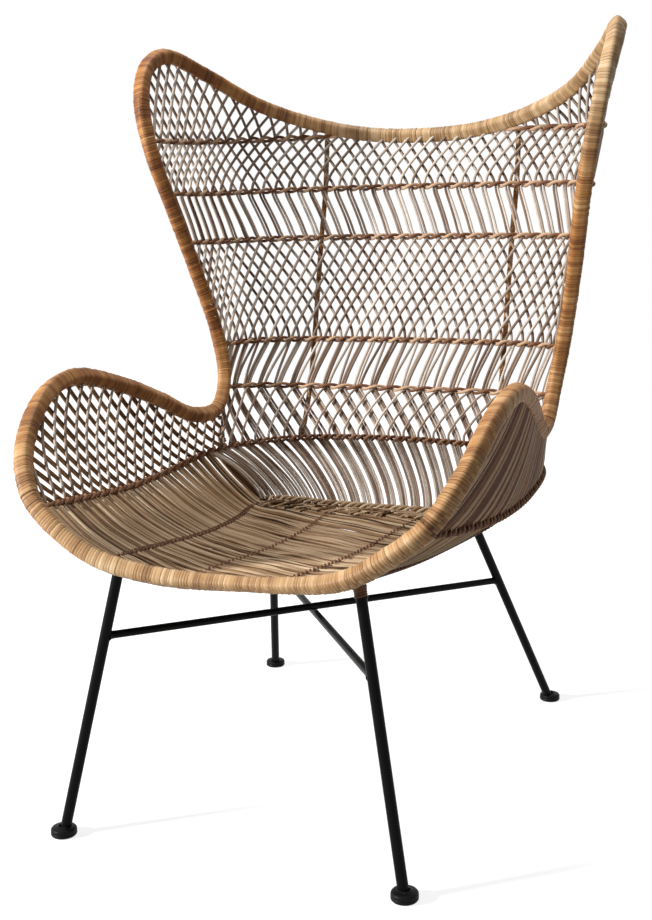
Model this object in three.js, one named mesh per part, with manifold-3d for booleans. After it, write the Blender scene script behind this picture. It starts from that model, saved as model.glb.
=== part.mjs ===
// Open-weave rattan lounge chair with wings and arms, on a four-legged steel rod base.
// Millimetres, +Z up, floor at z = 0, front towards -Y, mirror plane x = 0.
import * as THREE from 'three';
import { mergeVertices } from 'three/addons/utils/BufferGeometryUtils.js';
import Module from 'manifold-3d';

const wasm = await Module();
wasm.setup();

// Clearances
const FIT_GAP = 0.3;
const WEAVE_GAP = 0.9;
const LAYER_GAP = 3;
const ROW_SPLIT = 2;
const BEND_GAP = 1.6;
const SEAT_BEND_GAP = 4.6;
const TURN_BOW = 2.4;

// Rim: a bent pole under a wrap of peel, right half from the top middle round to the front middle.
// Heights on the shell, for the rim and every row, are measured from the middle of the front rail.
const RIM_DIAMETER = 24;
const RIM_POLE_DIAMETER = 16;
const FRONT_RAIL_HEIGHT = 360;
const TOP_RAIL_LINE = [[0, 398, 598], [98, 390, 603], [191, 368, 622], [271, 317, 651], [334, 233, 695]];
const WING_LINE = [
  [362, 165, 712], [368, 112, 685], [361, 82, 628], [346, 84, 550],
  [332, 108, 483], [312, 158, 367], [294, 191, 270], [281, 192, 193],
];
const ARM_LINE = [
  [278, 158, 144], [284, 85, 140], [292, 0, 171], [304, -91, 202],
  [313, -206, 223], [308, -286, 202], [290, -357, 140],
];
const FRONT_LINE = [[261, -387, 90], [220, -397, 55], [165, -396, 22], [90, -391, 5], [0, -389, 0]];
const SHELL_HEART = [0, 60, 280];

// Twined rows of the back, first row at the top: height at the wing rim, height and depth at the middle
const ROW_RIM_HEIGHTS = [571, 490, 414, 245, 175];
const ROW_BACK_HEIGHTS = [602, 512, 427, 253, 172];
const ROW_BACK_DEPTHS = [392, 383, 360, 320, 300];
const BACK_FULLNESS = 0.95;
const WING_FULLNESS = 0.65;
const WING_BOW = 1.03;

// Rows round the seat: arm row and seat border, right half from the back middle to the front rim
const ARM_ROW_LINE = [
  [0, 275, 89], [172, 256, 85], [243, 205, 80], [277, 130, 75],
  [285, 5, 61], [280, -121, 56], [270, -241, 63],
];
const ARM_ROW_FRONT_HEIGHT = 78;
const SEAT_ROW_LINE = [
  [0, 207, -21], [110, 207, -20], [182, 197, -16], [203, 150, -13],
  [186, 40, -15], [176, -80, -13], [172, -200, -3],
];
const SEAT_ROW_FRONT_HEIGHT = 19;
const SEAT_SAG_FRONT = 20;
const SEAT_SAG_REAR = 8;
const SEAT_MIDDLE_ROW_SHARE = 0.36;
const SEAT_SIDE_BULGE = 10;
const SEAT_CORNER_DEPTH = 182;

// Strands
const STAKE_WIDTH = 5;
const STAKE_THICKNESS = 3;
const SEAT_STRAND_WIDTH = 15;
const SEAT_STRAND_COUNT = 25;
const WEAVER_HEIGHT = 8;
const WEAVER_THICKNESS = 4.5;
const BORDER_DIAMETER = 13;
const RIB_DIAMETER = 9;
const RIB_OFFSET_X = 168;

// Layout of the weave: places on a row run from 0 at its middle to 1 at its end
const BACK_HALF = 0.5;
const BACK_THIRD = 0.34;
const TOP_WING_START = 0.54;
const TOP_ROW_START = 0.48;
const RAIL_MEETS_ROW = 0.33;
const RAIL_LEAVES_ROW = 0.43;
const RIM_TAPER = 0.25;
const ARM_FRONT_EDGE = 60;
const FLOOR_EDGE_SHARE = 0.9;
const QUARTER_STAKES = 7;
const THIRD_STAKES = 9;
const ARM_STAKES = 17;
const SEAT_SIDE_STRANDS = 21;
const SEAT_BACK_STRANDS = 15;

// Leans of the front and back layers, and the back layer's shift, in stake pitches
const LATTICE = { frontLean: 0.8, backLean: -0.8, backShift: 0.4 };
const TALL_LATTICE = { frontLean: 1.1, backLean: -1.1, backShift: 0.4 };
const RIGHT_PAIRS = { frontLean: 0.4, backLean: 0.4, backShift: 0.3 };
const LEFT_PAIRS = { frontLean: -0.4, backLean: -0.4, backShift: 0.3 };
const ARM_LEAN = { frontLean: 0.2, backLean: 1.2, backShift: 0.4 };

// Steel base
const LEG_DIAMETER = 14;
const STRETCHER_DIAMETER = 10.3;
const HOOP_DIAMETER = 10;
const HOOP_CORNER_RADIUS = 30;
const HOOP_FRONT_CORNER = [118, -258];
const HOOP_ARM_DIAMETER = 7;
const HOOP_ARM_DROP = 5;
const FRONT_FOOT = [235, -384];
const REAR_FOOT = [259, 337];
const FRONT_LEG_TOP = [163, -342];
const REAR_LEG_TOP = [175, 147];
const STRETCHER_FRONT_HEIGHT = 262;
const STRETCHER_REAR_HEIGHT = 235;
const FOOT_DIAMETER = 34;
const FOOT_HEIGHT = 12;
const FOOT_EDGE = 3;
const FOOT_FLOOR = 4;
const BINDING_LENGTH = 10;
const BINDING_WALL = 3;

// Fineness of curves and sections
const RIM_SAMPLES = 1600;
const RIM_STEP = 58;
const RIM_TURN_WEIGHT = 80;
const ROW_STATIONS = 12;
const ROW_STEP = 56;
const ROW_TURN_WEIGHT = 190;
const FINE_STEPS = 400;
const PLACE_STEP = 0.01;
const ROUNDING = 1e-6;
const WELD_DISTANCE = 1e-3;
const SLEEVE_SIDES = 8;
const POLE_SIDES = 6;
const RIB_SIDES = 8;
const BORDER_STEPS = 22;
const BORDER_SIDES = 8;
const HOOP_SIDES = 8;
const HOOP_CORNER_STEPS = 4;
const HOOP_SIDE_STEPS = 6;
const HOOP_BAR_STEPS = 4;
const ROD_SEGMENTS = 6;
const BINDING_SIDES = 12;
const FOOT_SEGMENTS = 18;
const FOOT_EDGE_STEPS = 3;

// Finishes
const finish = (color, roughness, metalness) => (
  new THREE.MeshStandardMaterial({ color, roughness, metalness })
);
const PEEL = finish(0xb98a52, 0.5, 0);
const POLE = finish(0xa67c4c, 0.6, 0);
const STAKE = finish(0x9a8168, 0.7, 0);
const TWINE = finish(0x7d5a41, 0.75, 0);
const STEEL = finish(0x101010, 0.4, 0.9);
const RUBBER = finish(0x181818, 0.8, 0);

const chair = new THREE.Group();
const { lerp, smoothstep } = THREE.MathUtils;
const vec = (p) => new THREE.Vector3(...p);
const UP = vec([0, 0, 1]);
const mirrored = (p) => new THREE.Vector3(-p.x, p.y, p.z);
const unit = (v) => v.clone().normalize();
const cross = (a, b) => new THREE.Vector3().crossVectors(a, b);
const along = (p, direction, distance) => p.clone().addScaledVector(direction, distance);
const spread = (from, to, steps) => (
  Array.from({ length: steps + 1 }, (_, i) => from + ((to - from) * i) / steps)
);

function addPiece(name, geometry, material) {
  const mesh = new THREE.Mesh(geometry, material);
  mesh.name = name;
  chair.add(mesh);
}

// Mesh building: rings of points joined side by side, closed round or capped
function bufferFrom(vertices, triangles) {
  const geometry = new THREE.BufferGeometry();
  const positions = vertices.flatMap((v) => v.toArray());
  geometry.setAttribute('position', new THREE.Float32BufferAttribute(positions, 3));
  geometry.setIndex(triangles.flat());
  geometry.computeVertexNormals();
  return geometry;
}

function joinRings(rings, closed) {
  const sides = rings[0].length;
  const triangles = [];
  const spans = closed ? rings.length : rings.length - 1;
  for (let r = 0; r < spans; r += 1) {
    const here = r * sides;
    const next = ((r + 1) % rings.length) * sides;
    for (let s = 0; s < sides; s += 1) {
      const t = (s + 1) % sides;
      triangles.push([here + s, here + t, next + t], [here + s, next + t, next + s]);
    }
  }
  return triangles;
}

function solidFromRings(rings, closed) {
  const sides = rings[0].length;
  const last = (rings.length - 1) * sides;
  const triangles = joinRings(rings, closed);
  if (!closed) {
    for (let s = 1; s < sides - 1; s += 1) {
      triangles.push([0, s + 1, s], [last, last + s, last + s + 1]);
    }
  }
  return bufferFrom(rings.flat(), triangles);
}

function sleeveFromRings(outer, inner) {
  const sides = outer[0].length;
  const offset = outer.length * sides;
  const last = (outer.length - 1) * sides;
  const triangles = joinRings(outer, false);
  joinRings(inner, false).forEach(([a, b, c]) => triangles.push([offset + a, offset + c, offset + b]));
  const far = offset + last;
  for (let s = 0; s < sides; s += 1) {
    const t = (s + 1) % sides;
    triangles.push([s, offset + s, offset + t], [s, offset + t, t]);
    triangles.push([last + s, far + t, far + s], [last + s, last + t, far + t]);
  }
  return bufferFrom([...outer.flat(), ...inner.flat()], triangles);
}

// Directions before and after each point of a path
function pathTurns(points, closed) {
  const count = points.length;
  return points.map((p, i) => {
    const before = closed || i > 0 ? unit(p.clone().sub(points[(i + count - 1) % count])) : null;
    const after = closed || i < count - 1 ? unit(points[(i + 1) % count].clone().sub(p)) : null;
    return [before ?? after, after ?? before];
  });
}

// A flat strand: half sizes along each point's given axis and across it, mitred at the turns
function strand(points, axes, axisHalf, crossHalf, closed = false) {
  const turns = pathTurns(points, closed);
  const rings = points.map((p, i) => {
    const [before, after] = turns[i];
    const tangent = before.clone().add(after);
    const mitre = 2 / tangent.length();
    const side = unit(cross(tangent, axes[i]));
    const axis = unit(cross(side, tangent)).multiplyScalar(axisHalf);
    side.multiplyScalar(crossHalf * mitre);
    return [[-1, -1], [-1, 1], [1, 1], [1, -1]].map(([a, b]) => (
      p.clone().addScaledVector(side, a).addScaledVector(axis, b)
    ));
  });
  return solidFromRings(rings, closed);
}

// Round rings along a path, with each ring's first point turned towards a reference direction
function roundRings(points, references, radius, sides, closed = false) {
  const turns = pathTurns(points, closed);
  return points.map((p, i) => {
    const tangent = unit(turns[i][0].clone().add(turns[i][1]));
    const first = unit(references[i].clone().addScaledVector(tangent, -references[i].dot(tangent)));
    const second = cross(tangent, first);
    return spread(0, 2 * Math.PI, sides).slice(0, sides).map((angle) => (
      along(along(p, first, radius * Math.cos(angle)), second, radius * Math.sin(angle))
    ));
  });
}

function rod(from, to, diameter) {
  const section = new THREE.Shape().absarc(0, 0, diameter / 2, 0, 2 * Math.PI);
  const path = new THREE.LineCurve3(from, to);
  return new THREE.ExtrudeGeometry(section, { extrudePath: path, steps: 1, curveSegments: ROD_SEGMENTS });
}

function toManifold(geometry) {
  const bare = geometry.clone();
  bare.deleteAttribute('normal');
  bare.deleteAttribute('uv');
  const merged = mergeVertices(bare, WELD_DISTANCE);
  return new wasm.Manifold(new wasm.Mesh({
    numProp: 3,
    vertProperties: new Float32Array(merged.attributes.position.array),
    triVerts: new Uint32Array(merged.index.array),
  }));
}

function fromManifold(solid) {
  const mesh = solid.getMesh();
  const geometry = new THREE.BufferGeometry();
  geometry.setAttribute('position', new THREE.BufferAttribute(mesh.vertProperties, 3));
  geometry.setIndex(new THREE.BufferAttribute(mesh.triVerts, 1));
  geometry.computeVertexNormals();
  return geometry;
}

// Rim curve and the places on it
const RIM_R = RIM_DIAMETER / 2;
const onShell = ([x, y, height]) => vec([x, y, FRONT_RAIL_HEIGHT + height]);
const halfRim = [...TOP_RAIL_LINE, ...WING_LINE, ...ARM_LINE, ...FRONT_LINE].map(onShell);
const rimPoints = [...halfRim, ...halfRim.slice(1, -1).reverse().map(mirrored)];
const rim = new THREE.CatmullRomCurve3(rimPoints, true, 'centripetal');
const rimShare = (pointIndex) => pointIndex / rimPoints.length;
const TIP = rimShare(TOP_RAIL_LINE.length);
const WAIST = rimShare(TOP_RAIL_LINE.length + WING_LINE.length);
const CORNER = rimShare(TOP_RAIL_LINE.length + WING_LINE.length + ARM_LINE.length);
const FRONT_MIDDLE = 0.5;

// The share of the rim, within a stretch of it, whose height is nearest to the one given
function rimAtHeight(height, from, to) {
  const miss = (share) => Math.abs(rim.getPoint(share).z - FRONT_RAIL_HEIGHT - height);
  let best = from;
  spread(from, to, RIM_SAMPLES).forEach((share) => {
    if (miss(share) < miss(best)) best = share;
  });
  return best;
}

// Steps along a stretch of a curve, closer together where it bends, as values from one end to the other
function bendSteps(pointAt, from, to, stepLength, turnWeight) {
  const values = spread(from, to, FINE_STEPS);
  const fine = values.map(pointAt);
  const effort = [0];
  for (let i = 1; i < fine.length; i += 1) {
    const step = fine[i].clone().sub(fine[i - 1]);
    const turn = i > 1 ? step.angleTo(fine[i - 1].clone().sub(fine[i - 2])) : 0;
    effort.push(effort[i - 1] + step.length() + turnWeight * turn);
  }
  const total = effort[FINE_STEPS];
  const count = Math.ceil(total / stepLength);
  return spread(0, total, count).map((e) => values[effort.findIndex((value) => value >= e - ROUNDING)]);
}

const onRim = (share) => rim.getPoint((share + 1) % 1);
const rimStretch = (from, to) => bendSteps(onRim, from, to, RIM_STEP, RIM_TURN_WEIGHT).map(onRim);

const toHeart = (p) => onShell(SHELL_HEART).sub(p);

const SLEEVE_BORE_R = (RIM_POLE_DIAMETER / 2 + 2 * FIT_GAP) / Math.cos(Math.PI / SLEEVE_SIDES);
const WRAP_STRETCHES = [
  ['top_rail_wrap', -TIP, TIP],
  ['wing_wrap_right', TIP, WAIST],
  ['arm_wrap_right', WAIST, CORNER],
  ['front_rail_wrap', CORNER, 1 - CORNER],
  ['arm_wrap_left', 1 - CORNER, 1 - WAIST],
  ['wing_wrap_left', 1 - WAIST, 1 - TIP],
];
const polePath = [];
const wrapStarts = WRAP_STRETCHES.map(([, from, to]) => {
  const start = polePath.length;
  polePath.push(...rimStretch(from, to).slice(0, -1));
  return start;
});
const poleReferences = polePath.map(toHeart);
const ringsRound = (radius, sides) => roundRings(polePath, poleReferences, radius, sides, true);
addPiece('rim_pole', solidFromRings(ringsRound(RIM_POLE_DIAMETER / 2, POLE_SIDES), true), POLE);

// A wrap's rings, with its two end rings drawn back to leave a gap to the next wrap
const outerRings = ringsRound(RIM_R, SLEEVE_SIDES);
const boreRings = ringsRound(SLEEVE_BORE_R, SLEEVE_SIDES);
const poleTurns = pathTurns(polePath, true);
function wrapRings(rings, start, count) {
  return spread(start, start + count, count).map((index, i) => {
    const place = index % rings.length;
    const back = (i === 0 ? 1 : 0) - (i === count ? 1 : 0);
    const [before, after] = poleTurns[place];
    const direction = unit(before.clone().add(after));
    return rings[place].map((p) => along(p, direction, (back * FIT_GAP) / 2));
  });
}
WRAP_STRETCHES.forEach(([name], i) => {
  const start = wrapStarts[i];
  const count = (i + 1 < wrapStarts.length ? wrapStarts[i + 1] : polePath.length) - start;
  const outer = wrapRings(outerRings, start, count);
  const inner = wrapRings(boreRings, start, count);
  addPiece(name, sleeveFromRings(outer, inner), PEEL);
});

// Row curves, each from the left rim to the right rim
function fullCurve(rightHalf) {
  const leftHalf = rightHalf.slice(1).reverse().map(mirrored);
  return new THREE.CatmullRomCurve3([...leftHalf, ...rightHalf], false, 'centripetal');
}

function backRowCurve(rimHeight, backHeight, backDepth) {
  const end = rim.getPoint(rimAtHeight(rimHeight, TIP, WAIST));
  const middle = onShell([0, backDepth, backHeight]);
  const back = onShell([end.x * BACK_FULLNESS, backDepth, backHeight]);
  const wing = vec([end.x * WING_BOW, lerp(end.y, backDepth, WING_FULLNESS), (end.z + middle.z) / 2]);
  const half = new THREE.CubicBezierCurve3(middle, back, wing, end);
  return fullCurve(half.getSpacedPoints(ROW_STATIONS));
}

const backCurves = ROW_BACK_DEPTHS.map((depth, index) => (
  backRowCurve(ROW_RIM_HEIGHTS[index], ROW_BACK_HEIGHTS[index], depth)
));
const armRowEnd = rim.getPoint(rimAtHeight(ARM_ROW_FRONT_HEIGHT, CORNER, FRONT_MIDDLE));
const seatRowEnd = rim.getPoint(rimAtHeight(SEAT_ROW_FRONT_HEIGHT, CORNER, FRONT_MIDDLE));
const armRow = fullCurve([...ARM_ROW_LINE.map(onShell), armRowEnd]);
const seatRow = fullCurve([...SEAT_ROW_LINE.map(onShell), seatRowEnd]);
const railCurve = fullCurve(spread(0, TIP, ROW_STATIONS).map((share) => rim.getPoint(share)));

// A place on a row: -1 is its left end, 0 its middle and 1 its right end
const onRow = (curve, place) => curve.getPointAt((place + 1) / 2);
const rowDirection = (curve, place) => curve.getTangentAt((place + 1) / 2);
const placeLength = (curve) => curve.getLength() / 2;

// The arm row's place under the waist, where the back ends and the arm begins
const waistPoint = rim.getPoint(WAIST);
const backShare = spread(0, 1, RIM_SAMPLES).find((place) => onRow(armRow, place).y < waistPoint.y);
const upwardCurves = [...backCurves.slice().reverse(), railCurve];
const backFoot = (place) => onRow(armRow, place * backShare);
const wallRows = [backFoot, ...upwardCurves.map((curve) => (place) => onRow(curve, place))];
const wallWidths = [placeLength(armRow) * backShare, ...upwardCurves.map(placeLength)];

// Woven stakes between two rows, in a front and a back layer joined by one turn at the foot
const LAYER_OFFSET = (STAKE_THICKNESS + LAYER_GAP) / 2;
const STAKE_END = STAKE_WIDTH / 2 + ROW_SPLIT;
const RIM_STAKE_END = RIM_R + STAKE_WIDTH / 2;
const RIM_EDGE = RIM_R + STAKE_WIDTH + LAYER_GAP;

function stakePanel({ lower, upper, upperInset, from, to, count, frontLean, backLean, backShift }) {
  const pitch = (to - from) / count;
  const taper = (place) => Math.min(1, Math.max(0, (1 - Math.abs(place)) / RIM_TAPER));
  const points = [];
  const axes = [];
  const addStake = (index, lean, shift, offset, upwards) => {
    const foot = from + (index + shift) * pitch;
    const head = foot + lean * pitch * taper(foot);
    const rise = unit(upper(head).sub(lower(foot)));
    const ends = [[lower, foot, STAKE_END], [upper, head, -upperInset(head)]];
    if (!upwards) ends.reverse();
    ends.forEach(([row, place, inset]) => {
      const across = unit(row(place + PLACE_STEP).sub(row(place - PLACE_STEP)));
      const normal = cross(across, rise);
      const slant = normal.length();
      normal.normalize();
      points.push(along(along(row(place), rise, inset / slant), normal, offset));
      axes.push(normal);
    });
  };
  for (let i = 0; i < count; i += 1) {
    addStake(i, frontLean, 0.5, LAYER_OFFSET, i % 2 === 1);
  }
  for (let i = count - 1; i >= 0; i -= 1) {
    addStake(i, backLean, 0.5 + backShift, -LAYER_OFFSET, i % 2 === 0);
  }
  return strand(points, axes, STAKE_THICKNESS / 2, STAKE_WIDTH / 2);
}

// Bands of the back from the arm row up to the top rail
const QUARTERS = [
  ['left_wing', -1, -BACK_HALF],
  ['left_back', -BACK_HALF, 0],
  ['right_back', 0, BACK_HALF],
  ['right_wing', BACK_HALF, 1],
];
const THIRDS = [
  ['left_wing', -1, -BACK_THIRD],
  ['middle_back', -BACK_THIRD, BACK_THIRD],
  ['right_wing', BACK_THIRD, 1],
];
const WINGS = [['left_wing', -1, -TOP_WING_START], ['right_wing', TOP_WING_START, 1]];
const BANDS = [
  { name: 'weave_low', lean: LATTICE, panels: QUARTERS, stakes: QUARTER_STAKES },
  { name: 'stakes_low', lean: RIGHT_PAIRS, panels: THIRDS, stakes: THIRD_STAKES },
  { name: 'weave_tall', lean: TALL_LATTICE, panels: QUARTERS, stakes: QUARTER_STAKES },
  { name: 'stakes_high', lean: LEFT_PAIRS, panels: THIRDS, stakes: THIRD_STAKES },
  { name: 'weave_high', lean: LATTICE, panels: QUARTERS, stakes: QUARTER_STAKES },
  { name: 'weave_top', lean: LATTICE, panels: WINGS, stakes: QUARTER_STAKES },
];

// Between the wings the top rail takes the place of the first row
const rowEnds = () => STAKE_END;
const railEnds = () => RIM_STAKE_END + WEAVE_GAP;
const railShare = (place) => 1 - smoothstep(Math.abs(place), RAIL_MEETS_ROW, RAIL_LEAVES_ROW);
const [topRow, rail] = wallRows.slice(-2);
const underRail = (place) => topRow(place).lerp(rail(place), railShare(place));
const UNDER_ROW_END = (WEAVER_HEIGHT + STAKE_WIDTH) / 2 + BEND_GAP;
const underRailEnds = (place) => lerp(UNDER_ROW_END, RIM_STAKE_END + BEND_GAP, railShare(place));
const bandTops = [
  ...wallRows.slice(1, -2).map((row) => [row, rowEnds]),
  [underRail, underRailEnds],
  [rail, railEnds],
];
BANDS.forEach((band, level) => {
  const edge = 1 - RIM_EDGE / Math.min(wallWidths[level], wallWidths[level + 1]);
  const [upper, upperInset] = bandTops[level];
  band.panels.forEach(([place, from, to]) => {
    addPiece(`${band.name}_${place}`, stakePanel({
      lower: wallRows[level],
      upper,
      upperInset,
      from: from * edge,
      to: to * edge,
      count: band.stakes,
      ...band.lean,
    }), STAKE);
  });
});

// A twined row: one weaver that runs in front of the strands and comes back behind them
function twinedRow(curve, from, to, offset, upAt) {
  const front = [];
  const back = [];
  const places = bendSteps((place) => onRow(curve, place), from, to, ROW_STEP, ROW_TURN_WEIGHT);
  places.forEach((place) => {
    const direction = rowDirection(curve, place);
    const inward = unit(cross(direction, upAt(place)));
    const up = cross(inward, direction);
    const p = onRow(curve, place);
    front.push([along(p, inward, offset + TURN_BOW), up]);
    back.push([along(p, inward, -offset), up]);
  });
  const loop = [...front, ...back.reverse()];
  const points = loop.map(([p]) => p);
  const ups = loop.map(([, up]) => up);
  return strand(points, ups, WEAVER_HEIGHT / 2, WEAVER_THICKNESS / 2, true);
}

const WALL_WEAVER = LAYER_OFFSET + (STAKE_THICKNESS + WEAVER_THICKNESS) / 2 + WEAVE_GAP;
const SEAT_WEAVER = (STAKE_THICKNESS + WEAVER_THICKNESS) / 2 + WEAVE_GAP;
const ROW_END = RIM_R + WEAVER_THICKNESS / 2 + WEAVER_HEIGHT / 4 + FIT_GAP;
backCurves.forEach((curve, index) => {
  const below = wallRows[backCurves.length - index - 1];
  const above = wallRows[backCurves.length - index + 1];
  const upAt = (place) => {
    const p = onRow(curve, place);
    return unit(p.clone().sub(below(place))).add(unit(above(place).sub(p)));
  };
  const end = 1 - ROW_END / placeLength(curve);
  const name = `row_${index + 1}`;
  if (index === 0) {
    addPiece(`${name}_left`, twinedRow(curve, -end, -TOP_ROW_START, WALL_WEAVER, upAt), TWINE);
    addPiece(`${name}_right`, twinedRow(curve, TOP_ROW_START, end, WALL_WEAVER, upAt), TWINE);
  } else {
    addPiece(name, twinedRow(curve, -end, end, WALL_WEAVER, upAt), TWINE);
  }
});

// Two wrapped ribs up the outside of the back
const RIB_BEHIND = WALL_WEAVER + WEAVER_THICKNESS / 2 + BEND_GAP + RIB_DIAMETER / 2;
const ribRows = wallRows.map((row) => {
  const place = spread(0, 1, RIM_SAMPLES).find((share) => row(share).x >= RIB_OFFSET_X);
  const across = unit(row(place + PLACE_STEP).sub(row(place - PLACE_STEP)));
  return along(row(place), unit(cross(across, UP)), -RIB_BEHIND);
});
const ribTop = ribRows.length - 1;
ribRows[ribTop] = along(ribRows[ribTop], UP, -RIM_R);
[['right', (p) => p], ['left', mirrored]].forEach(([side, place]) => {
  const path = ribRows.map(place);
  const rings = roundRings(path, path.map(() => vec([1, 0, 0])), RIB_DIAMETER / 2, RIB_SIDES);
  addPiece(`back_rib_${side}`, solidFromRings(rings, false), PEEL);
});

// Arm panels, from the arm row up to the arm rim
const armFront = 1 - ARM_FRONT_EDGE / placeLength(armRow);
const armFrontTop = onRow(armRow, armFront).z + ARM_FRONT_EDGE - FRONT_RAIL_HEIGHT;
const rimOverArmFront = rimAtHeight(armFrontTop, WAIST, CORNER);
const halfWay = (place) => (place + 1) / 2;
const armRight = {
  lower: (place) => onRow(armRow, lerp(backShare, armFront, halfWay(place))),
  upper: (place) => rim.getPoint(lerp(WAIST, rimOverArmFront, halfWay(place))),
};
const armLeft = {
  lower: (place) => mirrored(armRight.lower(-place)),
  upper: (place) => mirrored(armRight.upper(-place)),
};
const leanBack = { ...ARM_LEAN, frontLean: -ARM_LEAN.frontLean, backLean: -ARM_LEAN.backLean };
const ARM_PANELS = [['arm_weave_left', armLeft, ARM_LEAN], ['arm_weave_right', armRight, leanBack]];
const armRimEnds = () => RIM_STAKE_END + BEND_GAP;
ARM_PANELS.forEach(([name, rows, lean]) => {
  const shape = { ...rows, upperInset: armRimEnds, from: -1, to: 1, count: ARM_STAKES, ...lean };
  addPiece(name, stakePanel(shape), STAKE);
});

// One layer of broad strands that runs to and fro, given each strand's points and normals
function strandPanel(strands) {
  const points = [];
  const axes = [];
  strands.forEach((line, index) => {
    const ordered = index % 2 === 0 ? line : line.slice().reverse();
    ordered.forEach(([p, normal]) => {
      points.push(p);
      axes.push(normal);
    });
  });
  return strand(points, axes, STAKE_THICKNESS / 2, SEAT_STRAND_WIDTH / 2);
}

// Sides and back of the seat, from the arm row down to the seat row
const BROAD_TOP = SEAT_STRAND_WIDTH / 2 - ROW_SPLIT + WEAVE_GAP;
const BROAD_END = SEAT_STRAND_WIDTH / 2 + ROW_SPLIT;
const BORDER_END = (BORDER_DIAMETER + SEAT_STRAND_WIDTH) / 2 + WEAVE_GAP;
const seatCorner = spread(0, 1, RIM_SAMPLES).find((place) => onRow(seatRow, place).y < SEAT_CORNER_DEPTH);
const seatFront = 1 - (RIM_R + SEAT_STRAND_WIDTH) / placeLength(seatRow);
const LOOP_SPACE = BORDER_DIAMETER / 2 + WEAVER_THICKNESS + WEAVE_GAP + BEND_GAP + TURN_BOW;
const seatRear = seatCorner + LOOP_SPACE / placeLength(seatRow);
function sideStrand(place, lowerInset) {
  const head = onRow(armRow, place);
  const foot = onRow(seatRow, place);
  const rise = unit(head.clone().sub(foot));
  const normal = unit(cross(rowDirection(armRow, place), rise));
  const bottom = along(foot, rise, lowerInset);
  const top = along(head, rise, -BROAD_TOP);
  const middle = along(bottom.clone().lerp(top, 0.5), normal, -SEAT_SIDE_BULGE);
  return [[bottom, normal], [middle, normal], [top, normal]];
}
const middles = (from, to, count) => (
  Array.from({ length: count }, (_, i) => lerp(from, to, (i + 0.5) / count))
);
const SIDE_PANELS = [
  ['seat_side_left', -seatFront, -seatRear, SEAT_SIDE_STRANDS, BROAD_END],
  ['seat_back', -seatCorner, seatCorner, SEAT_BACK_STRANDS, BORDER_END],
  ['seat_side_right', seatRear, seatFront, SEAT_SIDE_STRANDS, BROAD_END],
];
SIDE_PANELS.forEach(([name, from, to, count, inset]) => {
  addPiece(name, strandPanel(middles(from, to, count).map((place) => sideStrand(place, inset))), STAKE);
});

// Seat floor: strands that hang from one seat row to the other
function onFloor(place, share) {
  const end = onRow(seatRow, place);
  const depth = (seatFront - place) / (seatFront - seatCorner);
  const sag = lerp(SEAT_SAG_FRONT, SEAT_SAG_REAR, depth) * (1 - share * share);
  return vec([end.x * share, end.y, end.z - sag]);
}
const floorPlaces = middles(seatFront, seatRear, SEAT_STRAND_COUNT);
const floorStrands = floorPlaces.map((place) => {
  const reach = 1 - BROAD_END / onRow(seatRow, place).x;
  return [-reach, -SEAT_MIDDLE_ROW_SHARE, SEAT_MIDDLE_ROW_SHARE, reach].map((share) => {
    const across = onFloor(place, share + PLACE_STEP).sub(onFloor(place, share - PLACE_STEP));
    const inwards = onFloor(place - PLACE_STEP, share).sub(onFloor(place + PLACE_STEP, share));
    return [onFloor(place, share), unit(cross(across, inwards))];
  });
});
addPiece('seat_floor', strandPanel(floorStrands), STAKE);

// Rows that bind the seat: the arm row, the two seat rows, two rows across the floor and the rear border
const armRowUp = (place) => unit(onRow(armRow, place).sub(onRow(seatRow, place))).add(UP);
const armRowReach = 1 - ROW_END / placeLength(armRow);
addPiece('row_6', twinedRow(armRow, -armRowReach, armRowReach, WALL_WEAVER + BEND_GAP, armRowUp), TWINE);
const seatRowUp = (place) => {
  const [[bottom], [middle]] = sideStrand(place, 0);
  const inside = onFloor(Math.abs(place), Math.sign(place) * FLOOR_EDGE_SHARE);
  return unit(middle.sub(bottom)).add(unit(onRow(seatRow, place).sub(inside)));
};
const BORDER_CLEAR = BORDER_DIAMETER / 2 + FIT_GAP + WEAVER_THICKNESS / 2;
const seatRowFrom = seatCorner + BORDER_CLEAR / placeLength(seatRow);
const SEAT_ROW_END = RIM_R + WEAVER_THICKNESS / 2 + FIT_GAP;
const seatRowTo = 1 - SEAT_ROW_END / placeLength(seatRow);
const seatRowPiece = (from, to) => twinedRow(seatRow, from, to, SEAT_WEAVER + SEAT_BEND_GAP, seatRowUp);
addPiece('row_7_left', seatRowPiece(-seatRowTo, -seatRowFrom), TWINE);
addPiece('row_7_right', seatRowPiece(seatRowFrom, seatRowTo), TWINE);

const FLOOR_ROW_REACH = SEAT_STRAND_WIDTH / 2 + WEAVER_THICKNESS / 2 + WEAVE_GAP;
const beyond = (p, before) => along(p, unit(p.clone().sub(before)), FLOOR_ROW_REACH);
const sideways = () => vec([-1, 0, 0]);
[['row_8_left', -SEAT_MIDDLE_ROW_SHARE], ['row_8_right', SEAT_MIDDLE_ROW_SHARE]].forEach(([name, share]) => {
  const line = floorPlaces.map((place) => onFloor(place, share));
  const path = [beyond(line[0], line[1]), ...line, beyond(line.at(-1), line.at(-2))];
  const curve = new THREE.CatmullRomCurve3(path, false, 'centripetal');
  addPiece(name, twinedRow(curve, -1, 1, SEAT_WEAVER, sideways), TWINE);
});

const borderPath = spread(-seatCorner, seatCorner, BORDER_STEPS).map((place) => onRow(seatRow, place));
const borderRings = roundRings(borderPath, borderPath.map(() => UP), BORDER_DIAMETER / 2, BORDER_SIDES);
addPiece('seat_border', solidFromRings(borderRings, false), TWINE);

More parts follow.
